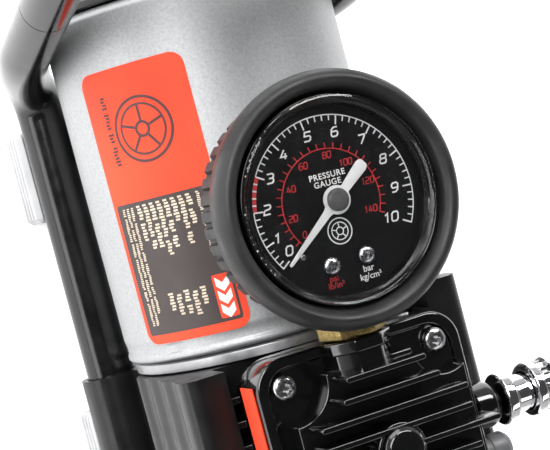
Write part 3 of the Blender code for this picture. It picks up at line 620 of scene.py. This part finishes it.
def line(points, width, lift=0.0, closed=False):
    """A flat ink line along points."""
    pts = [Vector(p) for p in points]
    left, right = [], []
    for i, p in enumerate(pts):
        back = pts[i - 1] if i or closed else p - (pts[1] - p)
        ahead = pts[(i + 1) % len(pts)] if i + 1 < len(pts) or closed else p + (p - back)
        a, b = (p - back).normalized(), (ahead - p).normalized()
        normal = Vector((-(a + b).y, (a + b).x)).normalized()
        reach = width / 2 / max(0.5, normal.dot(Vector((-a.y, a.x))))
        left.append(p + normal * reach)
        right.append(p - normal * reach)
    if not closed:
        return prism([tuple(p) for p in left + right[::-1]], "Z", INK_Z0 + lift, INK_Z1 + lift)
    bm = bmesh.new()
    loops = [[bm.verts.new((p.x, p.y, z + lift)) for p in side]
             for side, z in ((left, INK_Z0), (left, INK_Z1), (right, INK_Z1), (right, INK_Z0))]
    for i, loop in enumerate(loops):
        nxt = loops[(i + 1) % 4]
        for k in range(len(loop)):
            m = (k + 1) % len(loop)
            bm.faces.new((loop[k], loop[m], nxt[m], nxt[k]))
    return solid(bm)


def tick(angle, r0, r1, width, lift=0.0):
    return line([dial_point(angle, r0, ARC_AT), dial_point(angle, r1, ARC_AT)], width, lift)


def band(a0, a1, r, width, lift=0.0):
    steps = max(4, int(abs(a1 - a0) / 2.5))
    return line([dial_point(a0 + (a1 - a0) * k / steps, r, ARC_AT) for k in range(steps + 1)],
                width, lift)


# Strokes of the numerals, on a square one unit wide and high; True closes the stroke.
STROKES = {
    "0": [([(.2, 0), (.8, 0), (1, .2), (1, .8), (.8, 1), (.2, 1), (0, .8), (0, .2)], True)],
    "1": [([(.2, .78), (.6, 1), (.6, 0)], False)],
    "2": [([(0, 1), (.8, 1), (1, .86), (1, .66), (.82, .54), (.18, .46), (0, .32), (0, 0),
            (1, 0)], False)],
    "3": [([(0, 1), (.8, 1), (1, .86), (1, .66), (.86, .52), (1, .38), (1, .14), (.8, 0),
            (0, 0)], False), ([(.3, .52), (.8, .52)], False)],
    "4": [([(1, .27), (0, .27), (.5, 1)], False), ([(.72, .62), (.72, 0)], False)],
    "5": [([(1, 1), (.08, 1), (.04, .56), (.82, .56), (1, .42), (1, .14), (.8, 0), (0, 0)],
           False)],
    "6": [([(.9, 1), (.3, 1), (0, .76), (0, .16), (.2, 0), (.8, 0), (1, .16), (1, .4), (.8, .55),
            (.1, .55)], False)],
    "7": [([(0, 1), (1, 1), (1, .84), (.46, 0)], False)],
    "8": [([(.2, .54), (.04, .68), (.04, .86), (.2, 1), (.8, 1), (.96, .86), (.96, .68),
            (.8, .54)], True),
          ([(.2, .54), (0, .4), (0, .14), (.2, 0), (.8, 0), (1, .14), (1, .4), (.8, .54)],
           False)],
    "9": [([(.1, 0), (.7, 0), (1, .24), (1, .84), (.8, 1), (.2, 1), (0, .84), (0, .6), (.2, .45),
            (.9, .45)], False)],
}


def number(text, at, height, width, weight, slant):
    """A number in squarish sloping numerals, upright on the dial and centred on a point."""
    pitch = width * 1.32
    out = []
    for i, char in enumerate(text):
        x0 = (i - (len(text) - 1) / 2) * pitch - width / 2
        for points, closed in STROKES[char]:
            flat = [(x0 + x * width + (y - 0.5) * height * slant, (y - 0.5) * height)
                    for x, y in points]
            out.append(line(turned(flat, UPRIGHT, at), weight, 0.0, closed))
    return out


def lettering(text, size, at, bold, spread):
    """Plain ink letters, upright on the dial and centred on a point."""
    curve = bpy.data.curves.new("letters", "FONT")
    curve.body = text
    curve.size = size
    curve.align_x = "CENTER"
    curve.align_y = "CENTER"
    curve.offset = bold
    curve.space_character = spread
    curve.extrude = (INK_Z1 - INK_Z0) / 2
    curve.resolution_u = 4
    obj = bpy.data.objects.new("letters", curve)
    bpy.context.scene.collection.objects.link(obj)
    bpy.context.view_layer.update()
    graph = bpy.context.evaluated_depsgraph_get()
    mesh = bpy.data.meshes.new_from_object(obj.evaluated_get(graph))
    bpy.data.objects.remove(obj, do_unlink=True)
    mesh.transform(Matrix.Translation((at[0], at[1], (INK_Z0 + INK_Z1) / 2))
                   @ Matrix.Rotation(UPRIGHT, 4, "Z"))
    out = bpy.data.objects.new("letters", mesh)
    bpy.context.scene.collection.objects.link(out)
    return out


white, red = [], []
bar_ticks = [(a, False) for a in BAR_MINOR] + [(a, True) for a in BAR_MARKS]
for a, b in zip(BAR_MARKS[1:], BAR_MARKS[2:]):
    bar_ticks += [(a + (b - a) * k / 5, False) for k in range(1, 5)]
for a, major in bar_ticks:
    if BAR_MARKS[2] < a < BAR_MARKS[3]:
        white.append(tick(a, ARC_R - 0.85, ARC_R + 0.16, 0.36, 0.05))
    else:
        white.append(tick(a, ARC_R - (2.35 if major else 1.35), ARC_R - 0.05,
                          0.36 if major else 0.30))
for a, b in ((BAR_MARKS[0] - 0.4, BAR_MARKS[2]), (BAR_MARKS[3], BAR_MARKS[10] + 0.4)):
    white.append(band(a, b, ARC_R, 0.26, 0.01))
red.append(band(BAR_MARKS[2] + 0.5, BAR_MARKS[3] - 0.5, ARC_R - 0.38, 0.95))
NUMBERS = ((59.3, 16.75), (72.9, 17.3), (96.8, 17.3), (121.7, 17.0), (144.6, 16.6), (170.6, 16.4),
           (195.8, 16.3), (221.2, 16.3), (246.8, 16.3), (273.4, 16.1), (300.2, 15.2))
for bar, (a, r) in enumerate(NUMBERS):
    white += number(str(bar), dial_point(a, r), 2.15, 1.65, 0.37, 0.22)
psi_ticks = list(PSI_FIRST)
for a, b in zip(PSI_MARKS[1:], PSI_MARKS[2:]):
    psi_ticks += [a + (b - a) * k / 4 for k in range(1, 4)]
psi_ticks += PSI_MARKS[1:]
for a in psi_ticks:
    red.append(line([psi_point(a, 0.05), psi_point(a, 1.4)], 0.24))
red.append(line([psi_point(PSI_MARKS[0] + 241.2 * k / 90, 0.0) for k in range(91)], 0.24, 0.01))
PSI_NUMBERS = ((0, 58.0, 11.3), (20, 82.0, 11.5), (40, 117.2, 11.3), (60, 150.0, 11.2),
               (80, 185.0, 10.9), (100, 213.0, 9.6), (120, 256.0, 9.9), (140, 297.0, 9.6))
for psi, a, r in PSI_NUMBERS:
    red += number(str(psi), dial_point(a, r), 1.5, 0.92, 0.22, 0.12)

for ink, text, size, down, side, bold, spread in (
        (white, "PRESSURE", 2.0, -6.15, -0.45, 0.035, 1.12),
        (white, "GAUGE", 2.0, -4.3, -0.75, 0.035, 1.12),
        (white, "bar", 2.2, 17.7, 4.5, 0.02, 1.0),
        (white, "kg/cm²", 2.15, 19.6, 4.7, 0.02, 1.0),
        (red, "psi", 2.2, 18.0, -4.8, 0.01, 1.0),
        (red, "lb/in²", 2.15, 19.7, -4.5, 0.01, 1.0)):
    ink.append(lettering(text, size, below_hub(down, side), bold, spread))
badge = below_hub(7.4, -0.5)              # a plain wheel
for r, weight in ((3.1, 0.30), (2.1, 0.24), (0.9, 0.24)):
    white.append(line([(badge[0] + r * math.cos(t), badge[1] + r * math.sin(t))
                       for t in (2 * math.pi * k / 40 for k in range(40))], weight, 0.0, True))
for k in range(SPOKES):
    t = math.radians(36 + 72 * k)
    white.append(line([(badge[0] + r * math.cos(t), badge[1] + r * math.sin(t))
                       for r in (1.0, 2.0)], 0.26))
piece("dial_print_white", merge(*white), WHITE_INK)
piece("dial_print_red", merge(*red), RED_INK)

for side, x, y, turn in (("left", 14.9, -4.95, 20), ("right", 14.6, 4.45, 65)):
    at = (GAUGE_X + x, y)
    dome = lathe([(DIAL_Z + 0.05, 0), (DIAL_Z + 0.05, 2.1), (DIAL_Z + 0.5, 2.1),
                  (DIAL_Z + 0.85, 1.7), (DIAL_Z + 1.05, 1.0), (DIAL_Z + 1.1, 0)], "Z", at, 40)
    for quarter in (0, 90):               # cross slot
        slot = turned(rounded(0, 0, 1.3, 0.27, 0.2, 3), math.radians(turn + quarter), at)
        cut(dome, prism(slot, "Z", DIAL_Z + 0.6, DIAL_Z + 2))
    piece("dial_screw_" + side, bevel(dome, 0.06, 1), STEEL)
piece("stop_pin", lathe(soften([(DIAL_Z + 0.05, 0), (DIAL_Z + 0.05, 0.7), (DIAL_Z + 2.2, 0.7),
                                (DIAL_Z + 2.2, 0)], 0.3), "Z", (GAUGE_X + 10.9, -12.2), 24),
      STEEL)

NEEDLE_TURN = math.radians(-52.2)         # the pointer's direction at zero
blade = [(-11.6, 0.85), (-11.1, 1.35), (-10.3, 1.58), (-3.4, 1.15)]
blade += arc(3.5, 158, 22, 14)
blade += [(4.2, 1.0), (19.2, 0.42), (19.75, 0.3), (19.9, 0.0)]
blade += [(x, -w) for x, w in reversed(blade[:-1])]
needle = prism(turned(blade, NEEDLE_TURN, GAUGE_AT), "Z", DIAL_Z + 1.2, DIAL_Z + 1.7)
piece("pointer_blade", bevel(needle, 0.12, 2, 50), NEEDLE, "needle", "pointer")
piece("pointer_hub", lathe(
    soften([(DIAL_Z + 1.75, 0), (DIAL_Z + 1.75, 2.75), (DIAL_Z + 2.6, 2.75), (DIAL_Z + 3.05, 2.2),
            (DIAL_Z + 3.15, 0.45), (DIAL_Z + 2.7, 0.4), (DIAL_Z + 2.7, 0)], 0.15),
    "Z", GAUGE_AT, 64), CAP_GREY, "needle", "pointer_cap")

HEX_X0, HEX_X1 = GAUGE_X + GAUGE_R + 0.5, HEAD_X - HEAD_HALF - GAP
hexagon = bevel(prism(arc(HEX_R, 15, 315, 5, 0, STEM_Z), "X", HEX_X0, HEX_X1), 0.45, 3, 20)
join(hexagon, rod("X", HEX_X0 - 8.5, HEX_X0 + 1, 4.5, (0, STEM_Z)),
     rod("X", HEX_X1 - 1, HEX_X1 + 5.2, 4.2, (0, STEM_Z)))
piece("brass_stem", hexagon, BRASS, stands_for="gauge_stem")

# ------------------------------ crankcase

RAIL_ROUND, FLUTE_TOP, FLUTE_PITCH, FLUTE_DEPTH = 4.0, 34.0, 11.2, 0.5
EAR_X0, EAR_Z = -2.8, 24.0
case_side = [(TRENCH_HALF, TRENCH_Z), (TRENCH_HALF, CASE_TOP)]
case_side += arc(RAIL_ROUND, 90, 4, 8, CASE_HALF - RAIL_ROUND, CASE_TOP - RAIL_ROUND)
for k in range(43):                       # soft flutes down the side
    z = FLUTE_TOP - 0.8 * k
    phase = 2 * math.pi * (z - FLUTE_TOP) / FLUTE_PITCH
    case_side.append((CASE_HALF - FLUTE_DEPTH * (1 - math.cos(phase)), z))
case_side += [(CASE_HALF - inset, z) for inset, z in
              ((0.6, -2.0), (2.4, -5.0), (4.5, -9.0), (5.6, -13.0), (6.0, -18.0),
               (6.0, CASE_BOTTOM + 3), (9.0, CASE_BOTTOM))]
case = prism(case_side + [(-y, z) for y, z in reversed(case_side)], "X", CASE_X0, CASE_X1)
for s in (-1, 1):
    join(case, rod("X", CASE_X0 + 0.3, CASE_X1 - 0.5, SOCKET_R, (s * TUBE_Y, TUBE_Z), 64))
# the outlet side's rail runs on past the end plate, clear of the can
ear = [(TRENCH_HALF + 0.3, EAR_Z), (TRENCH_HALF + 0.3, CASE_TOP)]
ear += [(y, z) for y, z in case_side if y > CASE_HALF - RAIL_ROUND - 0.1 and z > EAR_Z + 0.5]
ear = prism(ear + [(CASE_HALF - 0.2, EAR_Z)], "X", EAR_X0, CASE_X0 + 1.0)
cut(ear, rod("X", EAR_X0 - 2, CASE_X0 + 0.01, CAN_R + 0.7, segs=160))
join(case, ear)
chamber = prism(rounded(0, -4, 27, 25, 8, 4), "X", CASE_X0 + 5.5, CASE_X1 + 2)
cut(case, chamber, rod("X", CASE_X0 - 2, CASE_X0 + 8, 13.2),
    rod("Z", 10, TRENCH_Z + 3, 22.3, (HEAD_X, 0), 64))
for s in (-1, 1):
    cut(case, rod("X", CASE_X0 - 4, 31.0, TUBE_R + GAP, (s * TUBE_Y, TUBE_Z), 64))
piece("crankcase_shell", bevel(case, 0.6, 3, 45), SATIN, stands_for="crankcase",
      angle=45)

# ------------------------------ cylinder head

def fin(x, y0, y1, z0=DECK_Z - 1):
    """A cooling fin with round ends and a softened top."""
    outline = rounded(x, (y0 + y1) / 2, FIN_T / 2, (y1 - y0) / 2, FIN_T / 2 - 0.02, 6)
    return bevel(prism(outline, "Z", z0, FIN_TOP), 0.42, 3, 60)


head = prism(rounded(HEAD_X, 0, HEAD_HALF, HEAD_HALF, 8.0, 12), "Z", HEAD_Z0, HEAD_Z1)
bevel(head, 0.8, 4, 60)
inside = HEAD_HALF - RIM_T
cut(head, prism(rounded(HEAD_X, 0, inside, inside, 6.2, 12), "Z", RECESS_Z, HEAD_Z1 + 5))
bevel(head, 0.45, 3, 60)
# the deck gives way to a round pocket at each screw: radius, first and last angle
POCKETS = ((RIGHT_POCKET, -87, -213), (RIGHT_POCKET, -57, -183),
           (LEFT_POCKET, -87, -183), (LEFT_POCKET, -87, -183))
deck_outline = []
for q, (r, start, end) in enumerate(POCKETS):
    for x, y in arc(r, start, end, 24, BOLT, BOLT):
        x, y = ((x, y), (-y, x), (-x, -y), (y, -x))[q]
        deck_outline.append((HEAD_X + x, y))
deck = bevel(prism(deck_outline, "Z", HEAD_Z1 - 4, DECK_Z), 0.5, 3, 60)
for k in range(-SIDE_FINS, SIDE_FINS + 1):
    beside = abs(abs(k * FIN_PITCH) - BOLT)
    ends = [full if beside >= r else BOLT - math.sqrt(r * r - beside * beside) - short
            for r, full, short in ((LEFT_POCKET, DECK_HALF - 2.3, 1.2),
                                   (RIGHT_POCKET, DECK_HALF - 0.6, 0.9))]
    if k == 0:
        join(deck, fin(HEAD_X, -DECK_HALF - 2.0, 27.2, HEAD_Z1 - 2))
    else:
        join(deck, fin(HEAD_X + k * FIN_PITCH, -ends[0], ends[1]))
join(deck, lathe(soften([(DECK_Z - 1, 0), (DECK_Z - 1, 6.4), (FIN_TOP - 0.4, 6.4),
                         (FIN_TOP - 0.4, 0)], 0.6), "Z", (HEAD_X, 0), 72))
join(head, deck)
port_x0 = HEAD_X - HEAD_HALF + 0.2
for r, x1 in ((8.0, HEAD_X - SIDE_FINS * FIN_PITCH), (9.0, port_x0 + 3.2)):
    join(head, bevel(prism(arc(r, 22.5, 337.5, 7, 0, STEM_Z), "X", port_x0 + (8.0 - r) * 0.1, x1),
                     0.55, 3, 30))
cut(head, prism(rounded(HEAD_X, 0, 14.5, 14.5, 4, 3), "Z", HEAD_Z0 - 2, HEAD_Z0 + 5.5),
    merge(*[rod("Z", HEAD_Z0 - 3, HEAD_Z1 + 3, 2.1, b, 24) for b in BOLTS]),
    rod("Z", 52, FIN_TOP + 2, 4.6, (HEAD_X, 0)),
    rod("X", HEAD_X - HEAD_HALF - 2, 9.0, 4.6, (0, STEM_Z)),
    rod("Y", 20, HEAD_HALF + 3, 3.2, (OUT_Z, OUT_X)))
piece("cylinder_head_casting", head, GLOSS, stands_for="cylinder_head", angle=40)

for i, (x, y) in enumerate(BOLTS):
    screw = lathe(
        [(38.6, 0), (38.6, 1.4), (39.0, 1.7), (RECESS_Z + GAP, 1.7), (RECESS_Z + GAP, 3.0),
         (RECESS_Z + 0.5, 3.1), (RECESS_Z + 1.5, 3.1), (RECESS_Z + 2.0, 2.9), (RECESS_Z + 2.4, 2.4),
         (RECESS_Z + 2.6, 1.5), (RECESS_Z + 2.6, 0)], "Z", (x, y), 56)
    star = []                             # six-lobed drive
    for k in range(36):
        t = 2 * math.pi * k / 36
        r = 1.35 + 0.25 * math.cos(6 * t)
        star.append((x + r * math.cos(t + i), y + r * math.sin(t + i)))
    cut(screw, prism(star, "Z", RECESS_Z + 1.0, RECESS_Z + 4))
    piece("head_screw_pan_%d" % (i + 1), screw, SCREW,
          stands_for="head_screw_%d" % (i + 1))

piece("head_plug_dome", lathe(
    soften([(53, 0), (53, 4.0), (53.4, 4.3), (FIN_TOP + GAP, 4.3), (FIN_TOP + GAP, 5.4),
            (70.0, 5.4), (71.0, 4.4), (71.5, 2.2), (71.5, 0)], 0.3), "Z", (HEAD_X, 0), 64),
      GLOSS, stands_for="head_plug")

# ------------------------------ outlet, coupler and filter

OUT_Y, OUT_AT = HEAD_HALF, (OUT_Z, OUT_X)
piece("outlet_boss_gloss", lathe(
    [(OUT_Y - 5, 1.6), (OUT_Y - 5, 2.9), (OUT_Y + GAP, 2.9), (OUT_Y + GAP, 5.6),
     (OUT_Y + 0.7, 6.0), (OUT_Y + 4.2, 6.0)]
    + [(OUT_Y + 4.2 + a, 2.0 + r) for a, r in arc(4.0, 80, 10, 8)]
    + [(OUT_Y + 8.2, 1.6)], "Y", OUT_AT, 64), GLOSS, stands_for="outlet_port")
piece("coupler_body_plated", lathe(
    soften([(OUT_Y + 8.5, 1.6), (OUT_Y + 8.5, 6.4), (OUT_Y + 9.0, 6.8), (OUT_Y + 11.2, 6.8),
            (OUT_Y + 11.7, 6.2), (OUT_Y + 12.5, 4.9), (OUT_Y + 25.5, 4.9), (OUT_Y + 26.0, 4.4),
            (OUT_Y + 26.0, 3.1), (OUT_Y + 12.0, 3.1), (OUT_Y + 12.0, 1.6)], 0.25), "Y", OUT_AT, 64),
      CHROME, stands_for="coupler_body", angle=50)


def knurl(k, along, r):
    """Fine ribs round the grip band of the coupler sleeve."""
    if r > 6.3 and OUT_Y + 20.4 < along < OUT_Y + 22.2 and k % 4 < 2:
        return r - 0.35
    return r


piece("coupler_sleeve_knurled", lathe(
    soften([(OUT_Y + 17.0, 5.2), (OUT_Y + 17.0, 6.6), (OUT_Y + 17.6, 7.2), (OUT_Y + 19.5, 7.2),
            (OUT_Y + 20.2, 6.6)], 0.2)[:-1]
    + [(OUT_Y + 20.3, 6.6), (OUT_Y + 20.5, 6.6), (OUT_Y + 22.1, 6.6), (OUT_Y + 22.3, 6.6)]
    + [(OUT_Y + 23.1, 7.2), (OUT_Y + 24.6, 7.2), (OUT_Y + 25.0, 6.9), (OUT_Y + 25.2, 6.4),
       (OUT_Y + 25.2, 5.2)], "Y", OUT_AT, 96, knurl),
      CHROME, "sleeve", "coupler_sleeve")
piece("intake_filter_cap", lathe(
    soften([(OUT_Y + GAP, 0), (OUT_Y + GAP, 4.2), (OUT_Y + 2.0, 4.2), (OUT_Y + 2.2, 3.9),
            (OUT_Y + 2.8, 3.9), (OUT_Y + 3.0, 4.2), (OUT_Y + 7.0, 4.2), (OUT_Y + 8.4, 3.2),
            (OUT_Y + 8.9, 1.6), (OUT_Y + 8.9, 0)], 0.25), "Y", (49.6, 42.2), 64),
      GREY_PLASTIC, stands_for="intake_filter")

# ------------------------------ rear cap and end plate

CAP_R, CAP_X0, CAP_DEPTH, VENTS = 29.4, -CAN_LEN - GAP, 19.5, 10
CAP_X1 = CAP_X0 - CAP_DEPTH
GLAND_Z = -9.0
cap = lathe(
    [(CAP_X0 + 4.0, can_in - 3.0), (CAP_X0 + 4.0, can_in - GAP), (CAP_X0 + 0.01, can_in - GAP),
     (CAP_X0, CAN_R - 0.6), (CAP_X0 - 0.4, CAN_R - 0.4), (CAP_X0 - 2.0, CAN_R - 0.7),
     (CAP_X0 - 2.8, CAN_R - 1.8), (CAP_X0 - 4.0, CAP_R + 1.6), (CAP_X0 - 5.0, CAP_R)]
    + [(CAP_X1 + 3.0 - a, CAP_R - 3.0 + r) for a, r in arc(3.0, 90, 0, 8)]
    + [(CAP_X1, 0), (CAP_X1 + 2.5, 0), (CAP_X1 + 2.5, CAP_R - 3.0), (CAP_X0 - 2.4, CAP_R - 2.6),
       (CAP_X0, can_in - 3.0)], segs=128)
slots = []
for k in range(VENTS):
    slot = box(CAP_X1 - 2, CAP_X1 + 11.5, -1.3, 1.3, 20, CAP_R + 4)
    slot.data.transform(Matrix.Rotation(math.radians(36 * k + 18), 4, "X"))
    slots.append(slot)
cut(cap, merge(*slots))
cut(cap, rod("X", CAP_X1 - 3, CAP_X1 + 4, 4.4, (0, GLAND_Z), 32))
piece("rear_cap_moulded", bevel(cap, 0.25, 2, 40), SATIN, stands_for="rear_cap")

gland = [(CAP_X1 + 4.5, 2.6), (CAP_X1 + 4.5, 4.0), (CAP_X1 - GAP, 4.0), (CAP_X1 - GAP, 7.4),
         (CAP_X1 - 4.0, 7.4), (CAP_X1 - 5.0, 6.2)]
for k in range(3):                        # bend relief rings
    x, r = CAP_X1 - 5.4 - 2.3 * k, 6.0 - 0.45 * k
    gland += [(x, r), (x - 1.2, r), (x - 1.4, r - 0.9), (x - 1.9, r - 0.9)]
gland += [(CAP_X1 - 12.3, 4.4), (CAP_X1 - 12.5, 4.1), (CAP_X1 - 12.5, 2.6)]
piece("cable_gland_ribbed", lathe(gland, at=(0, GLAND_Z), segs=56), RUBBER,
      stands_for="cable_gland")
piece("end_plate_turned", lathe(
    soften([(GAP, 9.0), (GAP, 37.0), (0.9, 37.6), (GAP + 3.0, 37.6), (GAP + 3.0, 12.5),
            (9.5, 12.0), (9.5, 5.5), (8.1, 5.5), (8.1, 9.0)], 0.2), segs=160), PLATE,
      stands_for="end_plate", angle=50)

# ------------------------------ carry frame

def riser(s, t):
    """The point t millimetres up the leaning riser on side s."""
    return Vector((RISER[0], s * RISER[1], RISER[2])) + Vector(LEAN) * t


def side_path(s):
    start = Vector((BEND_X, s * TUBE_Y, TUBE_Z))
    pull = start - Vector((BEND_REACH, 0, 0))
    path = [Vector((30.0, s * TUBE_Y, TUBE_Z))]
    for k in range(25):
        t = k / 24
        path.append(start * (1 - t) ** 3 + pull * 3 * t * (1 - t) ** 2
                    + riser(s, -22.0) * 3 * t * t * (1 - t) + riser(s, 0) * t ** 3)
    return path + [riser(s, RISER_SPLIT)]


for name, s in (("left", -1), ("right", 1)):
    piece("frame_tube_%s_coated" % name, tube(side_path(s), TUBE_R, 64), TUBE,
          stands_for="frame_tube_" + name, angle=50)
handle_turn = [math.pi / 2 * k / 16 for k in range(17)]
bar = [riser(-1, RISER_SPLIT + GAP)]
for s in (-1, 1):
    bend = [riser(s, RISER_TOP + HANDLE_BEND * math.sin(t))
            - Vector((0, s * HANDLE_BEND * (1 - math.cos(t)), 0)) for t in handle_turn]
    bar += bend if s < 0 else bend[::-1]
bar.append(riser(1, RISER_SPLIT + GAP))
piece("handle_bar_coated", tube(bar, TUBE_R, 64), TUBE, stands_for="handle_bar",
      angle=50)
crossing = riser(0, RISER_TOP + HANDLE_BEND)
GRIP_RINGS = 12
grip_profile = [(-17.0, TUBE_R + GAP), (-17.0, 9.0), (-16.4, 9.6), (-15.6, 9.8), (-14.6, 9.8)]
for k in range(GRIP_RINGS):
    y = -13.8 + 2.4 * k
    waist = 9.5 - 0.3 * math.sin(math.pi * (k + 0.5) / GRIP_RINGS)
    grip_profile += [(y, waist - 0.7), (y + 0.5, waist - 0.7), (y + 0.8, waist), (y + 1.7, waist)]
grip_profile += [(14.9, 9.8), (15.6, 9.8), (16.4, 9.6), (17.0, 9.0), (17.0, TUBE_R + GAP)]
piece("handle_grip_ringed", lathe(grip_profile, "Y", (crossing.z, crossing.x), 72), RUBBER,
      stands_for="handle_grip")

# ------------------------------ edges rounded on other nodes

def refine(name, mat, width, body="frame", cuts=()):
    """The same shape as a CAD node with its edges rounded."""
    node = nodes[name]
    bm = bmesh.new()
    bm.from_mesh(node.data)
    bm.transform(PUMP.inverted() @ node.matrix_world)
    bmesh.ops.remove_doubles(bm, verts=bm.verts, dist=2e-3)
    bmesh.ops.dissolve_limit(bm, angle_limit=math.radians(0.6), verts=bm.verts, edges=bm.edges)
    made = solid(bm)
    cut(made, *cuts)
    return piece(name + "_rounded", bevel(made, width, 2, 32), mat, body, name, 34)


refine("cylinder", GLOSS, 0.3)
refine("valve_plate", PLATE, 0.15)
refine("motor_cradle", RUBBER, 0.5)
for end, x0 in (("front", 14.0), ("rear", -68.0)):
    for side_name, s in (("left", -1), ("right", 1)):
        grooves = [box(x0 - 3, x0 + 29, s * (TUBE_Y + 8) - 0.7, s * (TUBE_Y + 8) + 0.7,
                       z - 0.6, z + 0.6) for z in (-46.2, -42.9, -39.6)]
        refine("foot_%s_%s" % (end, side_name), GREY_RUBBER, 0.45,
               cuts=[merge(*grooves)])
COVER_SCREW_Y, COVER_SCREW_Z, COVER_MIDDLE = 28.4, 30.8, -2
cover_screws = [(sy * COVER_SCREW_Y, COVER_MIDDLE + sz * COVER_SCREW_Z)
                for sy in (-1, 1) for sz in (-1, 1)]
refine("front_cover", SATIN, 0.5,
       cuts=[merge(*[rod("X", CASE_X1 + 3.2, CASE_X1 + 9, 3.3, at, 40) for at in cover_screws])])
screws = []
for y, z in cover_screws:
    x0 = CASE_X1 + 3.3
    screw = lathe([(x0, 0), (x0, 2.8), (x0 + 0.8, 2.8), (x0 + 1.4, 2.2), (x0 + 1.6, 1.2),
                   (x0 + 1.6, 0)], "X", (y, z), 40)
    for hy, hz in ((1.7, 0.35), (0.35, 1.7)):
        cut(screw, prism(rounded(y, z, hy, hz, 0.2, 3), "X", x0 + 0.8, x0 + 3))
    screws.append(screw)
piece("cover_screws", merge(*screws), STEEL)
refine("switch_box", SATIN, 0.4)
refine("rocker", LABEL_RED, 0.3, body="switch_rocker")

# ------------------------------ carried-over CAD nodes

carried = {
    "head_gasket": RUBBER, "head_label": LABEL_RED, "bourdon_tube": BRASS,
    "armature": COPPER, "commutator": COPPER, "motor_shaft": STEEL,
    "brush_left": CARBON, "brush_right": CARBON, "brush_plate": SATIN, "bearing_rear": STEEL,
    "bearing_front": STEEL, "cooling_fan": SATIN, "crank_disc": STEEL, "crank_pin": STEEL,
    "big_end_bearing": STEEL, "conrod": ALLOY, "piston": ALLOY, "piston_cup": SEAL,
    "intake_reed": STEEL, "discharge_reed": STEEL, "magnet_upper": FERRITE,
    "magnet_lower": FERRITE,
}
for name, mat in carried.items():
    obj = nodes[name]
    obj.data.materials.clear()
    obj.data.materials.append(mat)

# ------------------------------ floor, light and camera

FLOOR_HALF, WALL_R, WALL_H, WALL_SIDES = 12.0, 11.5, 6.0, 96   # metres


def paper(name, corners, faces, grey, rough, glow):
    """A plain pale surface behind the object, with a little light of its own."""
    obj = bpy.data.objects.new(name, bpy.data.meshes.new(name))
    obj.data.from_pydata(corners, [], faces)
    mat = finish(name + "_paper", (grey,) * 3, rough, 0.0, (300, 0.05, 0.05),
                 (grey + 0.02,) * 3, 4)
    bsdf = mat.node_tree.nodes["Principled BSDF"]
    bsdf.inputs["Emission Color"].default_value = (1.0, 1.0, 1.0, 1.0)
    bsdf.inputs["Emission Strength"].default_value = glow
    obj.data.materials.append(mat)
    bpy.context.scene.collection.objects.link(obj)


paper("floor", [(x * FLOOR_HALF, y * FLOOR_HALF, 0)
                for x, y in ((-1, -1), (1, -1), (1, 1), (-1, 1))], [(0, 1, 2, 3)], 0.92, 0.7, 0.55)
wall = [(WALL_R * math.cos(2 * math.pi * k / WALL_SIDES),
         WALL_R * math.sin(2 * math.pi * k / WALL_SIDES), z)
        for z in (-0.01, WALL_H) for k in range(WALL_SIDES)]
sides = [((k - 1) % WALL_SIDES, k, k + WALL_SIDES, (k - 1) % WALL_SIDES + WALL_SIDES)
         for k in range(WALL_SIDES)]
paper("backdrop", wall, sides, 0.80, 0.8, 0.2)

middle = (Vector(cad_box[0]) + Vector(cad_box[1])) / 2
LAMP_DISTANCE = 0.9                       # metres from the middle of the object
LAMPS = (                                 # name, direction, width and height in metres, watts
    ("left_box", (-0.15, -1.0, 0.20), (1.4, 0.32), 5.2),
    ("top_box", (-0.42, -0.50, 0.78), (0.6, 0.45), 8),
    ("rear_box", (-1.0, -0.20, 0.34), (0.8, 0.35), 3.5),
    ("back_strip", (-0.60, 0.36, 0.66), (0.8, 0.22), 8.5),
    ("front_strip", (0.66, 0.34, 0.62), (0.8, 0.22), 1.2),
)
for name, direction, size, watts in LAMPS:
    lamp = bpy.data.lights.new(name, "AREA")
    lamp.shape = "RECTANGLE"
    lamp.size, lamp.size_y = size
    lamp.energy = watts
    obj = bpy.data.objects.new(name, lamp)
    way = Vector(direction).normalized()
    obj.location = middle + way * LAMP_DISTANCE
    obj.rotation_euler = way.to_track_quat("Z", "Y").to_euler()
    bpy.context.scene.collection.objects.link(obj)

world = bpy.data.worlds.new("studio")
world.use_nodes = True
world.node_tree.nodes["Background"].inputs["Color"].default_value = (1.0, 1.0, 1.0, 1.0)
world.node_tree.nodes["Background"].inputs["Strength"].default_value = 0.07
bpy.context.scene.world = world
bpy.context.scene.view_settings.view_transform = "Standard"

# degrees off the vertical, and about the view
CAM_SWING, CAM_TILT, CAM_ROLL = (math.radians(a) for a in (2.9, 21.2, -15.9))
CAM_DISTANCE, CAM_RIGHT, CAM_UP, CAM_LENS = 476.0, 1.9, 27.1, 113.8   # millimetres
back = Vector((-math.sin(CAM_SWING), -math.sin(CAM_TILT) * math.cos(CAM_SWING),
               math.cos(CAM_TILT) * math.cos(CAM_SWING)))
right = (Vector((0, 1, 0)) - back * back.y).normalized()
up = back.cross(right)
right, up = (right * math.cos(CAM_ROLL) + up * math.sin(CAM_ROLL),
             up * math.cos(CAM_ROLL) - right * math.sin(CAM_ROLL))
cam = bpy.data.objects.new("camera", bpy.data.cameras.new("camera"))
cam.data.lens = CAM_LENS
cam.data.clip_start = 0.01
spot = back * CAM_DISTANCE + right * CAM_RIGHT + up * CAM_UP
cam.matrix_world = (Matrix.Translation(PUMP @ spot)
                    @ Matrix((right, up, back)).transposed().to_4x4())
bpy.context.scene.collection.objects.link(cam)
bpy.context.scene.camera = cam
